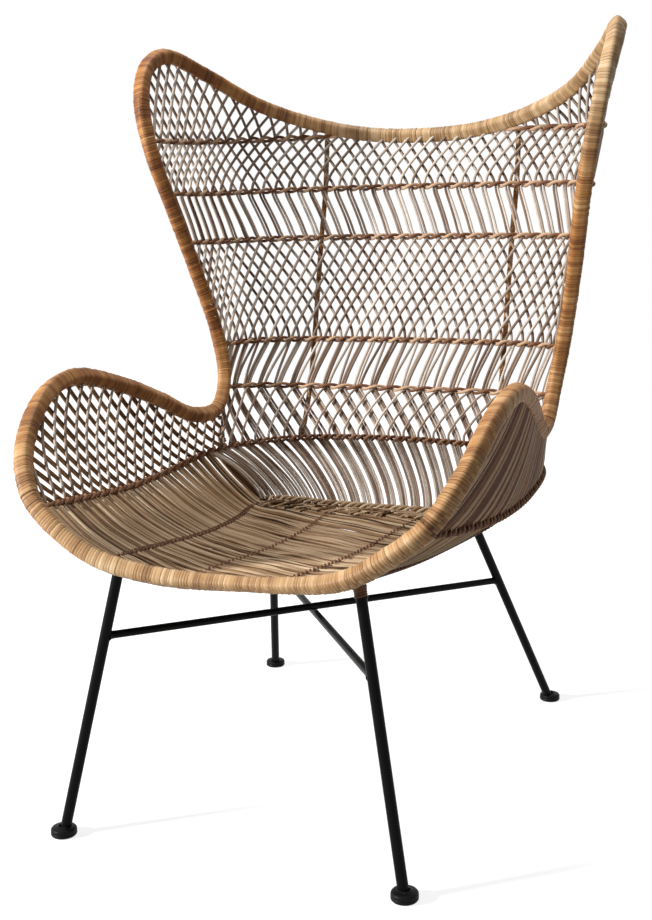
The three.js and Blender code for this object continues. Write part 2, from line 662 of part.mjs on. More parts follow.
// Steel hoop under the seat: its rear corners stand over the rear legs
const HOOP_R = HOOP_DIAMETER / 2;
const HOOP_UNDER_SEAT = SEAT_WEAVER + WEAVER_THICKNESS / 2 + WEAVE_GAP + HOOP_R;
function floorHeight(x, depth) {
  const behind = floorPlaces.findIndex((place) => onRow(seatRow, place).y >= depth);
  const next = Math.max(1, behind < 0 ? floorPlaces.length - 1 : behind);
  const [a, b] = floorPlaces.slice(next - 1, next + 1).map((place) => (
    onFloor(place, x / onRow(seatRow, place).x)
  ));
  return lerp(a.z, b.z, (depth - a.y) / (b.y - a.y));
}
const cornerReach = HOOP_CORNER_RADIUS * (1 - Math.SQRT1_2);
const frontHoop = { x: HOOP_FRONT_CORNER[0], y: HOOP_FRONT_CORNER[1] };
const rearHoop = { x: REAR_LEG_TOP[0] + cornerReach, y: REAR_LEG_TOP[1] + cornerReach };
const hoopPoint = (x, y) => vec([x, y, floorHeight(x, y) - HOOP_UNDER_SEAT]);
function hoopCorner({ x, y }, sideX, sideY, startAngle) {
  const middleX = sideX * (x - HOOP_CORNER_RADIUS);
  const middleY = y - sideY * HOOP_CORNER_RADIUS;
  return spread(startAngle, startAngle + Math.PI / 2, HOOP_CORNER_STEPS).map((angle) => {
    const sideways = HOOP_CORNER_RADIUS * Math.cos(angle);
    const endways = HOOP_CORNER_RADIUS * Math.sin(angle);
    return hoopPoint(middleX + sideways, middleY + endways);
  });
}
function hoopSide(sideX, from, to) {
  return spread(from, to, HOOP_SIDE_STEPS).slice(1, -1).map((y) => {
    const share = (y - frontHoop.y) / (rearHoop.y - frontHoop.y);
    return hoopPoint(sideX * lerp(frontHoop.x, rearHoop.x, share), y);
  });
}
function hoopBar({ x, y }, way) {
  const reach = way * (x - HOOP_CORNER_RADIUS);
  return spread(-reach, reach, HOOP_BAR_STEPS).slice(1, -1).map((place) => hoopPoint(place, y));
}
const hoopFrontEnd = frontHoop.y + HOOP_CORNER_RADIUS;
const hoopRearEnd = rearHoop.y - HOOP_CORNER_RADIUS;
const hoopPath = [
  ...hoopCorner(rearHoop, 1, 1, 0),
  ...hoopBar(rearHoop, -1),
  ...hoopCorner(rearHoop, -1, 1, Math.PI / 2),
  ...hoopSide(-1, hoopRearEnd, hoopFrontEnd),
  ...hoopCorner(frontHoop, -1, -1, Math.PI),
  ...hoopBar(frontHoop, 1),
  ...hoopCorner(frontHoop, 1, -1, 1.5 * Math.PI),
  ...hoopSide(1, hoopFrontEnd, hoopRearEnd),
];
const hoopRings = roundRings(hoopPath, hoopPath.map(() => UP), HOOP_R, HOOP_SIDES, true);

// Legs: the front ones end under the seat rows and meet the hoop's arms, the rear ones end under the hoop
const LEG_R = LEG_DIAMETER / 2;
const STRETCHER_R = STRETCHER_DIAMETER / 2;
const SEAT_ROW_DROP = SEAT_WEAVER + SEAT_BEND_GAP + WEAVER_THICKNESS / 2;
const frontLegPlace = spread(0, 1, RIM_SAMPLES).find((place) => onRow(seatRow, place).y < FRONT_LEG_TOP[1]);
const frontLegTop = onRow(seatRow, frontLegPlace).z - SEAT_ROW_DROP;
const legPlan = (name, side, foot, top, height, bound) => ({
  name,
  bound,
  ground: vec([side * foot[0], foot[1], 0]),
  seat: vec([side * top[0], top[1], height]),
  hoopDirection: unit(vec([1, -side * Math.sign(top[1]), 0])),
});
const rearLegTop = hoopPoint(...REAR_LEG_TOP).z;
const LEGS = [
  legPlan('front_left', -1, FRONT_FOOT, FRONT_LEG_TOP, frontLegTop, true),
  legPlan('front_right', 1, FRONT_FOOT, FRONT_LEG_TOP, frontLegTop, true),
  legPlan('rear_left', -1, REAR_FOOT, REAR_LEG_TOP, rearLegTop, false),
  legPlan('rear_right', 1, REAR_FOOT, REAR_LEG_TOP, rearLegTop, false),
];

// A quarter of the foot's rounded edge, as points of its profile
const footEdge = (height, from) => spread(from, from + Math.PI / 2, FOOT_EDGE_STEPS).map((angle) => {
  const reach = FOOT_DIAMETER / 2 - FOOT_EDGE + FOOT_EDGE * Math.cos(angle);
  return new THREE.Vector2(reach, height + FOOT_EDGE * Math.sin(angle));
});
const footProfile = [
  new THREE.Vector2(0, 0),
  ...footEdge(FOOT_EDGE, -Math.PI / 2),
  ...footEdge(FOOT_HEIGHT - FOOT_EDGE, 0),
  new THREE.Vector2(0, FOOT_HEIGHT),
];

// How far a bar's end stays off a leg's axis
function legTrim(leg, direction, barRadius) {
  const cosine = Math.abs(direction.dot(leg.axis));
  return (LEG_R + FIT_GAP + barRadius * cosine) / Math.sqrt(1 - cosine * cosine);
}

// Legs, feet and bindings, and the hoop with an arm to each front leg
let hoop = toManifold(solidFromRings(hoopRings, true));
LEGS.forEach((leg) => {
  const axis = unit(leg.seat.clone().sub(leg.ground));
  const tilt = Math.sqrt(1 - axis.z * axis.z);
  const hoopGap = HOOP_R + FIT_GAP + LEG_R * Math.abs(axis.dot(leg.hoopDirection));
  const top = along(leg.seat, axis, leg.bound ? -FIT_GAP - LEG_R * tilt : -hoopGap);
  const bottom = along(leg.ground, axis, (FOOT_FLOOR + LEG_R * tilt) / axis.z);
  leg.axis = axis;
  leg.at = (height) => along(leg.ground, axis, height / axis.z);
  addPiece(`leg_${leg.name}`, rod(bottom, top, LEG_DIAMETER), STEEL);

  const disc = new THREE.LatheGeometry(footProfile, FOOT_SEGMENTS).rotateX(Math.PI / 2);
  disc.translate(leg.ground.x, leg.ground.y, 0);
  const socket = rod(along(bottom, axis, -FIT_GAP), leg.at(2 * FOOT_HEIGHT), LEG_DIAMETER + 2 * FIT_GAP);
  addPiece(`foot_${leg.name}`, fromManifold(toManifold(disc).subtract(toManifold(socket))), RUBBER);

  if (leg.bound) {
    const side = Math.sign(leg.seat.x);
    const corner = hoopPoint(side * (frontHoop.x - cornerReach), frontHoop.y + cornerReach);
    const weld = along(top, axis, -HOOP_ARM_DROP);
    const direction = unit(weld.clone().sub(corner));
    const armEnd = along(weld, direction, -legTrim(leg, direction, HOOP_ARM_DIAMETER / 2));
    hoop = hoop.add(toManifold(rod(corner, armEnd, HOOP_ARM_DIAMETER)));

    const path = [along(top, axis, -BINDING_LENGTH), top];
    const bore = (LEG_R + FIT_GAP) / Math.cos(Math.PI / BINDING_SIDES);
    const outer = roundRings(path, [UP, UP], bore + BINDING_WALL, BINDING_SIDES);
    const inner = roundRings(path, [UP, UP], bore, BINDING_SIDES);
    const slot = rod(corner, weld, HOOP_ARM_DIAMETER + 2 * FIT_GAP);
    const sleeve = toManifold(sleeveFromRings(outer, inner)).subtract(toManifold(slot));
    addPiece(`leg_binding_${leg.name}`, fromManifold(sleeve), PEEL);
  }
});
addPiece('seat_hoop', fromManifold(hoop), STEEL);

// Crossed stretchers, one over the other
function stretcher(fromLeg, toLeg, lift) {
  const from = fromLeg.at(STRETCHER_FRONT_HEIGHT + lift);
  const to = toLeg.at(STRETCHER_REAR_HEIGHT + lift);
  const direction = unit(to.clone().sub(from));
  const start = along(from, direction, legTrim(fromLeg, direction, STRETCHER_R));
  const end = along(to, direction, -legTrim(toLeg, direction, STRETCHER_R));
  return rod(start, end, STRETCHER_DIAMETER);
}
const [frontLeft, frontRight, rearLeft, rearRight] = LEGS;
const crossLift = STRETCHER_R + FIT_GAP;
addPiece('stretcher_lower', stretcher(frontRight, rearLeft, -crossLift), STEEL);
addPiece('stretcher_upper', stretcher(frontLeft, rearRight, crossLift), STEEL);

export default chair;
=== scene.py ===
"""Open-weave rattan wing chair on a black steel rod base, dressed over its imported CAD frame."""
import math

import bpy
import numpy as np
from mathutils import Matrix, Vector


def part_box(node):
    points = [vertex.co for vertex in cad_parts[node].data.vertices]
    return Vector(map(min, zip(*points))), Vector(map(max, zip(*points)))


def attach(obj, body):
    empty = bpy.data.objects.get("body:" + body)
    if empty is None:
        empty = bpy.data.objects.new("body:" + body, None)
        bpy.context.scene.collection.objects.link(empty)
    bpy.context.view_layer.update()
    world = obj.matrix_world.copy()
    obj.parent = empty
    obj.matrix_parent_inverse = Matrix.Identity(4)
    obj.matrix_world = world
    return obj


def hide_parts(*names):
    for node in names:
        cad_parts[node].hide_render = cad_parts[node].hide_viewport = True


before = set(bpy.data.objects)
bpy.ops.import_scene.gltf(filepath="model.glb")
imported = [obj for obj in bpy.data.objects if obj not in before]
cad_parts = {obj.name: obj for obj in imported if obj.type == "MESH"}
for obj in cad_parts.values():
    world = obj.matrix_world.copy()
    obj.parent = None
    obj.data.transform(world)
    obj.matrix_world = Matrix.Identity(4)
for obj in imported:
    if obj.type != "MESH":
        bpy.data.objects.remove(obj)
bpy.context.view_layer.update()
chance = np.random.default_rng(11)

MM = 0.001
UP = np.array((0, 0, 1.0))

# Lines of the shell in millimetres: right half of the rim from the top middle round to the front middle
TOP_RAIL = [(0, 398, 958), (98, 390, 963), (191, 368, 982), (271, 317, 1011), (334, 233, 1055)]
WING = [
    (362, 165, 1072), (368, 112, 1045), (361, 82, 988), (346, 84, 910),
    (332, 108, 843), (312, 158, 727), (294, 191, 630), (281, 192, 553),
]
ARM = [
    (278, 158, 504), (284, 85, 500), (292, 0, 531), (304, -91, 562),
    (313, -206, 583), (308, -286, 562), (290, -357, 500),
]
FRONT = [(261, -387, 450), (220, -397, 415), (165, -396, 382), (90, -391, 365), (0, -389, 360)]
SHELL_HEART = np.array((0, 60, 640))

# Twined rows: height at the wing rim, height and depth at the middle of the back
BACK_ROWS = {
    1: (931, 962, 392), 2: (850, 872, 383), 3: (774, 787, 360), 4: (605, 613, 320), 5: (535, 532, 300),
}
ARM_ROW = [
    (0, 275, 449), (172, 256, 445), (243, 205, 440), (277, 130, 435),
    (285, 5, 421), (280, -121, 416), (270, -241, 423),
]
ARM_ROW_FRONT_HEIGHT = 438
SEAT_ROW = [
    (0, 207, 339), (110, 207, 340), (182, 197, 344), (203, 150, 347),
    (186, 40, 345), (176, -80, 347), (172, -200, 357),
]
SEAT_ROW_FRONT_HEIGHT = 379

# A back row ends on the inner side of the rim; its curve is drawn by shares of that end's width and depth
ROW_INSET = 6.0
ROW_BACK_REACH = 0.95
ROW_WING_REACH = 1.005
ROW_WING_DEPTH = 0.65

# Sizes of the rattan
RIM_RADIUS = 12.0
RIM_SQUARE = 3.2
RIM_ROLL = math.radians(30)
RIM_TWIST = math.radians(17)
RIM_TWIST_REACH = 180.0
PEEL_STRIP = 4.0
POLE = 15.0
RIB_RADIUS = 4.5
CANE = 4.9
THIN_CANE = 4.2
SEAT_CANE = 4.2
WEAVER = 5.4
BUNDLE = 3
SEAT_BUNDLE = 5

# Pitch of the stakes on each row and where the first one stands, in millimetres and pitches
PITCH = {1: 22.5, 2: 22.1, 3: 21.3, 4: 19.0, 5: 28.5, 6: 26.5}
PHASE = {2: -1.73, 3: 0.0, 4: 0.0, 5: -0.86, 6: -0.87}

# How finely lines are drawn
SPAN = 30
ROW_STEPS = 60
TANGENT_STEP = 3.0


# Lines and surfaces
def unit(v):
    """Vectors cut to length one."""
    return v / np.linalg.norm(v, axis=-1, keepdims=True)


def smooth_line(points, closed=False, steps=SPAN):
    """Centripetal Catmull-Rom line: cubic spans whose end slopes come from the neighbouring points."""
    p = np.asarray(points, float)
    if closed:
        p = np.concatenate([p[..., -1:, :], p, p[..., :2, :]], -2)
    else:
        before = 2 * p[..., :1, :] - p[..., 1:2, :]
        after = 2 * p[..., -1:, :] - p[..., -2:-1, :]
        p = np.concatenate([before, p, after], -2)
    spans = p.shape[-2] - 3
    p0, p1, p2, p3 = (p[..., i:i + spans, :] for i in range(4))
    pairs = ((p0, p1), (p1, p2), (p2, p3))
    d0, d1, d2 = (np.sqrt(np.linalg.norm(b - a, axis=-1, keepdims=True)) for a, b in pairs)
    m1 = ((p1 - p0) / d0 - (p2 - p0) / (d0 + d1) + (p2 - p1) / d1) * d1
    m2 = ((p2 - p1) / d1 - (p3 - p1) / (d1 + d2) + (p3 - p2) / d2) * d1
    t = (np.arange(steps) / steps)[:, None]
    a, b = p1[..., None, :], m1[..., None, :]
    c = (3 * (p2 - p1) - 2 * m1 - m2)[..., None, :]
    d = (2 * (p1 - p2) + m1 + m2)[..., None, :]
    line = a + t * (b + t * (c + t * d))
    line = line.reshape(*line.shape[:-3], spans * steps, 3)
    if closed:
        return line
    return np.concatenate([line, p[..., -2:-1, :]], -2)


def mirrored(points):
    """The same points on the other side of the plane x = 0."""
    return np.asarray(points, float) * (-1, 1, 1)


def run_along(line):
    """Each point's distance along a line from its first point."""
    return np.concatenate([[0], np.cumsum(np.linalg.norm(np.diff(line, axis=0), axis=1))])


def measured(line):
    """A line with each point's distance from the line's middle."""
    run = run_along(line)
    return run - run[-1] / 2, line


def on(line, s):
    """Points of a measured line at distances s from its middle."""
    run, points = line
    return np.stack([np.interp(s, run, points[:, k]) for k in range(3)], -1)


def ahead(line, s):
    """Unit direction of a measured line at distances s, from points a few millimetres on either side."""
    return unit(on(line, s + TANGENT_STEP) - on(line, s - TANGENT_STEP))


def both_sides(right):
    """A measured line from the left rim to the right rim, given its right half from the middle."""
    right = np.asarray(right, float)
    return measured(smooth_line(np.concatenate([mirrored(right[:0:-1]), right])))


def at_height(points, height):
    """The point of a line that is nearest to a height."""
    return points[np.argmin(np.abs(points[:, 2] - height))]


half_rim = np.array(TOP_RAIL + WING + ARM + FRONT, float)
rim = smooth_line(np.concatenate([half_rim, mirrored(half_rim[-2:0:-1])]), True)
TIP = len(TOP_RAIL) * SPAN
WAIST = TIP + len(WING) * SPAN
CORNER = WAIST + len(ARM) * SPAN
FRONT_MIDDLE = CORNER + (len(FRONT) - 1) * SPAN


def back_row(rim_height, back_height, depth):
    """Half a row as a cubic Bezier from the middle of the back round to the wing rim."""
    end = at_height(rim[TIP:WAIST], rim_height) - (ROW_INSET, 0, 0)
    middle = np.array((0, depth, back_height))
    back = np.array((end[0] * ROW_BACK_REACH, depth, back_height))
    wing_depth = end[1] + ROW_WING_DEPTH * (depth - end[1])
    wing = np.array((end[0] * ROW_WING_REACH, wing_depth, (end[2] + back_height) / 2))
    t = np.linspace(0, 1, ROW_STEPS)[:, None]
    half = (1 - t) ** 3 * middle + 3 * (1 - t) ** 2 * t * back + 3 * (1 - t) * t * t * wing + t ** 3 * end
    return both_sides(half)


rows = {number: back_row(*sizes) for number, sizes in BACK_ROWS.items()}
rows[6] = both_sides(ARM_ROW + [at_height(rim[CORNER:FRONT_MIDDLE], ARM_ROW_FRONT_HEIGHT)])
rows[7] = both_sides(SEAT_ROW + [at_height(rim[CORNER:FRONT_MIDDLE], SEAT_ROW_FRONT_HEIGHT)])
reach = {number: line[0][-1] for number, line in rows.items()}
ARM_REACH = reach[6]
SEAT_SHARE = reach[7] / ARM_REACH

# The wall of the back stands on the part of the arm row that lies behind the rim's waist
arm_middle = len(rows[6][1]) // 2
waist_index = np.argmax(rows[6][1][arm_middle:, 1] < half_rim[len(TOP_RAIL) + len(WING), 1])
WAIST_REACH = rows[6][0][arm_middle + waist_index]
reach[6] = WAIST_REACH


# Meshes
def square_to(forward, toward):
    """Two unit directions square to a path: the part of toward that is square to it, and one beside."""
    out = unit(toward - forward * (toward * forward).sum(-1, keepdims=True))
    return out, np.cross(forward, out)


def rings(paths, forward, normals, half_width, sides):
    """Rings square to a path: the path's point plus half the width times (cos a * normal + sin a * side)."""
    out, side = square_to(forward, normals)
    angle = np.linspace(0, 2 * np.pi, sides, endpoint=False)[:, None]
    ring = np.cos(angle) * out[..., None, :] + np.sin(angle) * side[..., None, :]
    half = np.broadcast_to(np.asarray(half_width, float), paths.shape[:-1])
    return paths[..., None, :] + half[..., None, None] * ring


def numbered(points):
    """The numbers of the points of a grid."""
    return np.arange(points[..., 0].size).reshape(points.shape[:-1])


def joined(index, axis):
    """Point numbers whose first row or column comes again after the last, which closes the grid."""
    return np.concatenate([index, np.take(index, [0], axis)], axis)


def grid_faces(index):
    """Faces between neighbours on a grid of point numbers."""
    corners = [index[..., :-1, :-1], index[..., :-1, 1:], index[..., 1:, 1:], index[..., 1:, :-1]]
    return np.stack(corners, -1).reshape(-1, 4)


def open_bars(paths, normals, width, sides=8):
    """Round bars with flat ends, one for each path."""
    half_width = np.asarray(width, float) / 2
    points = rings(paths, unit(np.gradient(paths, axis=-2)), normals, half_width, sides)
    index = numbered(points)
    caps = np.concatenate([index[:, 0, ::-1], index[:, -1]])
    return {"points": points.reshape(-1, 3), "faces": [grid_faces(joined(index, 2)), caps]}


def closed_bar(path, normals, width, sides):
    """One round bar that runs back into itself."""
    forward = unit(np.roll(path, -1, 0) - np.roll(path, 1, 0))
    points = rings(path, forward, normals, width / 2, sides)
    faces = grid_faces(joined(joined(numbered(points), 1), 0))
    return {"points": points.reshape(-1, 3), "faces": [faces]}


def canes(paths, normals, width, tone, sides=8):
    """Round bars with one tone for each cane."""
    bars = open_bars(paths, normals, width, sides)
    bars["tone"] = np.repeat(tone, len(bars["points"]) // len(paths))
    return bars


def piece(name, material, slot, nodes, *parts):
    """An object made of parts, in metres, that rides on the chair and stands for the named CAD nodes."""
    starts = np.cumsum([0] + [len(part["points"]) for part in parts])
    points = np.concatenate([part["points"] for part in parts]) * MM
    faces = [f + start for part, start in zip(parts, starts) for f in part["faces"]]
    corners = np.concatenate([f.ravel() for f in faces])
    sizes = np.concatenate([np.full(len(f), f.shape[1]) for f in faces])
    mesh = bpy.data.meshes.new(name)
    mesh.vertices.add(len(points))
    mesh.vertices.foreach_set("co", points.ravel())
    mesh.loops.add(len(corners))
    mesh.loops.foreach_set("vertex_index", corners.astype(np.int32))
    mesh.polygons.add(len(sizes))
    mesh.polygons.foreach_set("loop_start", (np.cumsum(sizes) - sizes).astype(np.int32))
    mesh.polygons.foreach_set("use_smooth", np.ones(len(sizes), bool))
    for key, domain in (("tone", "POINT"), ("strip", "CORNER")):
        if key in parts[0]:
            values = np.concatenate([part[key] for part in parts]).astype(np.float32)
            mesh.attributes.new(key, "FLOAT", domain).data.foreach_set("value", values)
    mesh.update(calc_edges=True)
    mesh.validate()
    mesh.materials.append(material)
    obj = bpy.data.objects.new(name, mesh)
    bpy.context.scene.collection.objects.link(obj)
    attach(obj, "root")
    if nodes:
        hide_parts(*nodes)


# Materials
MATH, RANGE, NOISE = "ShaderNodeMath", "ShaderNodeMapRange", "ShaderNodeTexNoise"
RAMP, MIX = "ShaderNodeValToRGB", "ShaderNodeMix"


def shade(code):
    """A linear colour from an sRGB hex code."""
    parts = [int(code[i:i + 2], 16) / 255 for i in (0, 2, 4)]
    return tuple(c / 12.92 if c <= 0.04045 else ((c + 0.055) / 1.055) ** 2.4 for c in parts) + (1.0,)


def add_node(tree, kind, inputs=(), **settings):
    """Adds a node with its settings, and links or fills each (socket, value) of its inputs."""
    made = tree.nodes.new(kind)
    for key, value in settings.items():
        setattr(made, key, value)
    for socket, value in inputs:
        if isinstance(value, bpy.types.NodeSocket):
            tree.links.new(value, made.inputs[socket])
        else:
            made.inputs[socket].default_value = value
    return made


def new_material(name, roughness, specular):
    """A material, its node tree, its shader and the output that gives a point's place in metres."""
    material = bpy.data.materials.new(name)
    material.use_nodes = True
    tree = material.node_tree
    shader = tree.nodes["Principled BSDF"]
    shader.inputs["Roughness"].default_value = roughness
    shader.inputs["Specular IOR Level"].default_value = specular
    return material, tree, shader, add_node(tree, "ShaderNodeTexCoord").outputs["Object"]


def set_ramp(ramp, stops):
    """Sets a colour ramp's stops from (tone, hex code) pairs."""
    while len(ramp.elements) < len(stops):
        ramp.elements.new(0.5)
    for element, (place, code) in zip(ramp.elements, stops):
        element.position = place
        element.color = shade(code)


def roughen(tree, shader, place, grain, detail, strength, height):
    """Gives a surface a fine grain, of a size and a height in metres."""
    noise = add_node(tree, NOISE, [("Vector", place), ("Scale", 1 / grain), ("Detail", detail)])
    bump = add_node(tree, "ShaderNodeBump", [
        ("Strength", strength), ("Distance", height), ("Height", noise.outputs["Fac"])])
    tree.links.new(bump.outputs["Normal"], shader.inputs["Normal"])


# Bare rattan has cloudy stains 18 mm across, and fibres that are drawn 1.2 mm apart, coarse enough to show
STAIN = 0.018
STAIN_TONE = 0.24
FIBRE = 0.0012
FIBRE_HEIGHT = 0.0004


def rattan(name, stops, roughness):
    """Bare rattan: each cane has its own tone, which the stains move up and down a ramp of colours."""
    material, tree, shader, place = new_material(name, roughness, specular=0.15)
    tone = add_node(tree, "ShaderNodeAttribute", attribute_name="tone").outputs["Fac"]
    stain = add_node(tree, NOISE, [("Vector", place), ("Scale", 1 / STAIN), ("Detail", 3.0)]).outputs["Fac"]
    centred = add_node(tree, MATH, [(0, stain), (1, 0.5)], operation="SUBTRACT").outputs[0]
    moved = add_node(tree, MATH, [(0, centred), (1, STAIN_TONE), (2, tone)], operation="MULTIPLY_ADD")
    ramp = add_node(tree, RAMP, [("Fac", moved.outputs[0])])
    set_ramp(ramp.color_ramp, stops)
    tree.links.new(ramp.outputs["Color"], shader.inputs["Base Color"])
    roughen(tree, shader, place, FIBRE, detail=2.0, strength=0.25, height=FIBRE_HEIGHT)
    return material


# Weathered rattan core: grey-tan canes, some darker and redder, with a soft dull sheen
cane = rattan("weathered rattan core", [
    (0.0, "4d3a2e"), (0.25, "70594a"), (0.5, "948172"), (0.75, "b3a598"), (1.0, "cfc4b8")], roughness=0.55)
# Seat canes are browner from use
seat_cane = rattan("worn rattan seat core", [
    (0.0, "3a2817"), (0.15, "66492f"), (0.35, "8a6c4e"), (0.6, "a58a6c"), (1.0, "c0a88a")], roughness=0.55)
# Twining canes are soaked and twisted, which leaves them redder
twine = rattan("twisted rattan core", [
    (0.0, "4a2d1d"), (0.4, "7f563c"), (0.7, "ac8465"), (1.0, "d0b090")], roughness=0.5)

# Split peel has clouds 50 mm across. Its tone drops more at the far left, as painted shade. It is paler from
# the arms down to the front, and along the top it is paler as painted light, except at its left end; those
# places are in metres. Grooves are painted shade at the strips' edges: they are shares of a strip's width,
# and leave shares of its brightness.
PEEL_CLOUD = 0.05
STRIP_TONE = 0.34
LEFT_SHADE_FROM, LEFT_SHADE_TO = -0.26, -0.31
TONE_DROP, LEFT_TONE_AND_SHADE_DROP = 0.17, 0.3
PALE_FRONT_FROM, PALE_FRONT_TO = 0.62, 0.38
PALE_FRONT = 0.75
PAINTED_LIGHT_TOP_FROM, PAINTED_LIGHT_TOP_TO = 0.85, 0.95
PAINTED_LIGHT_RIGHT_FROM, PAINTED_LIGHT_RIGHT_TO = -0.3, -0.12
GROOVE_WIDTH = 0.16
DEEP_STRIPS, SHALLOW_STRIPS = 0.15, 0.65
DEEP_GROOVE_SHADE, SHALLOW_GROOVE_SHADE = 0.03, 0.85


def wound_peel(name, stops, pale_stops):
    """Split peel wound in strips: a strip's tone is its own random share plus the clouds, and painted shade
    in the groove at its edges darkens it, more on some strips than on others."""
    material, tree, shader, place = new_material(name, roughness=0.5, specular=0.25)
    strip = add_node(tree, "ShaderNodeAttribute", attribute_name="strip").outputs["Fac"]
    whole = add_node(tree, MATH, [(0, strip)], operation="FLOOR").outputs[0]
    part = add_node(tree, MATH, [(0, strip)], operation="FRACT").outputs[0]
    own = add_node(tree, "ShaderNodeTexWhiteNoise", [("W", whole)], noise_dimensions="1D").outputs["Value"]
    cloud = add_node(tree, NOISE, [
        ("Vector", place), ("Scale", 1 / PEEL_CLOUD), ("Detail", 2.0)]).outputs["Fac"]
    tone = add_node(tree, MATH, [(0, own), (1, STRIP_TONE), (2, cloud)], operation="MULTIPLY_ADD").outputs[0]
    axes = add_node(tree, "ShaderNodeSeparateXYZ", [("Vector", place)])
    across, height = axes.outputs["X"], axes.outputs["Z"]
    # Painted shade: the tone drops further at the far left, where the rim is darker as if in shade
    tone_and_left_shade_drop = add_node(tree, RANGE, [
        ("Value", across), ("From Min", LEFT_SHADE_FROM), ("From Max", LEFT_SHADE_TO),
        ("To Min", TONE_DROP), ("To Max", LEFT_TONE_AND_SHADE_DROP)]).outputs[0]
    tone_with_left_shade = add_node(tree, MATH, [(0, tone), (1, tone_and_left_shade_drop)], operation="SUBTRACT").outputs[0]
    front = add_node(tree, RANGE, [
        ("Value", height), ("From Min", PALE_FRONT_FROM), ("From Max", PALE_FRONT_TO),
        ("To Max", PALE_FRONT)]).outputs[0]
    # Painted light: along the top the peel is paler, as where light falls on it, except at its left end
    high = add_node(tree, RANGE, [
        ("Value", height), ("From Min", PAINTED_LIGHT_TOP_FROM), ("From Max", PAINTED_LIGHT_TOP_TO)]).outputs[0]
    right = add_node(tree, RANGE, [
        ("Value", across), ("From Min", PAINTED_LIGHT_RIGHT_FROM), ("From Max", PAINTED_LIGHT_RIGHT_TO)]).outputs[0]
    top = add_node(tree, MATH, [(0, high), (1, right)], operation="MULTIPLY").outputs[0]
    pale = add_node(tree, MATH, [(0, front), (1, top)], operation="MAXIMUM").outputs[0]
    golden = add_node(tree, RAMP, [("Fac", tone_with_left_shade)])
    set_ramp(golden.color_ramp, stops)
    # Paler colours, mixed in from the arms down to the front and as painted light along the top
    pale_ramp = add_node(tree, RAMP, [("Fac", tone_with_left_shade)])
    set_ramp(pale_ramp.color_ramp, pale_stops)
    skin = add_node(tree, MIX, [
        ("Factor", pale), ("A", golden.outputs["Color"]), ("B", pale_ramp.outputs["Color"])], data_type="RGBA")
    # Painted shade: each strip darkens towards its edges, where the grooves between strips lie
    edge = add_node(tree, MATH, [(0, part), (1, 0.5)], operation="PINGPONG").outputs[0]
    depth = add_node(tree, RANGE, [
        ("Value", own), ("From Min", DEEP_STRIPS), ("From Max", SHALLOW_STRIPS),
        ("To Min", DEEP_GROOVE_SHADE), ("To Max", SHALLOW_GROOVE_SHADE)]).outputs[0]
    groove_shade = add_node(tree, RANGE, [
        ("Value", edge), ("From Min", 0.0), ("From Max", GROOVE_WIDTH),
        ("To Min", depth), ("To Max", 1.0)]).outputs[0]
    groove_shaded = add_node(tree, MIX, [("Factor", 1.0), ("A", skin.outputs["Result"]), ("B", groove_shade)],
                       data_type="RGBA", blend_type="MULTIPLY")
    tree.links.new(groove_shaded.outputs["Result"], shader.inputs["Base Color"])
    return material


# Split rattan peel: the golden skin, satin to the eye
peel = wound_peel(
    "split rattan peel",
    [(0.0, "653a1c"), (0.3, "905c31"), (0.5, "aa7541"), (0.7, "be8e5a"), (1.0, "dabb94")],
    [(0.0, "6f5438"), (0.3, "997752"), (0.5, "b39067"), (0.7, "c8a981"), (1.0, "e0c9a6")])
# Strip that binds the legs: the same peel, stained dark
DARK_STOPS = [(0.0, "3a2010"), (0.3, "4c2c17"), (0.5, "5d3a20"), (0.7, "6d4629"), (1.0, "7f5635")]
dark_peel = wound_peel("stained rattan peel", DARK_STOPS, DARK_STOPS)


def plain_finish(name, code, roughness, specular, grain, detail, strength, height):
    """One colour with a fine grain."""
    material, tree, shader, place = new_material(name, roughness, specular)
    shader.inputs["Base Color"].default_value = shade(code)
    roughen(tree, shader, place, grain, detail, strength, height)
    return material


# Powder-coated steel: an even satin black with a fine orange peel 1.5 mm across
steel = plain_finish("black powder coat", "080808", roughness=0.36, specular=0.06,
                     grain=0.0015, detail=1.0, strength=0.15, height=0.0002)
# Moulded rubber foot: matte black with pores that are drawn 1 mm apart, coarse enough to show
rubber = plain_finish("moulded rubber", "0d0d0d", roughness=0.45, specular=0.1,
                      grain=0.001, detail=2.0, strength=0.2, height=0.0002)

# Peel wound round a bar: rings for each strip, and how much lower than the strip's middle each ring lies
STRIP_STEPS = 4
STRIP_RISE = np.array((-0.45, -0.06, 0.0, -0.06))


def even(p):
    """No change of a wrap's radius anywhere."""
    return 0.0


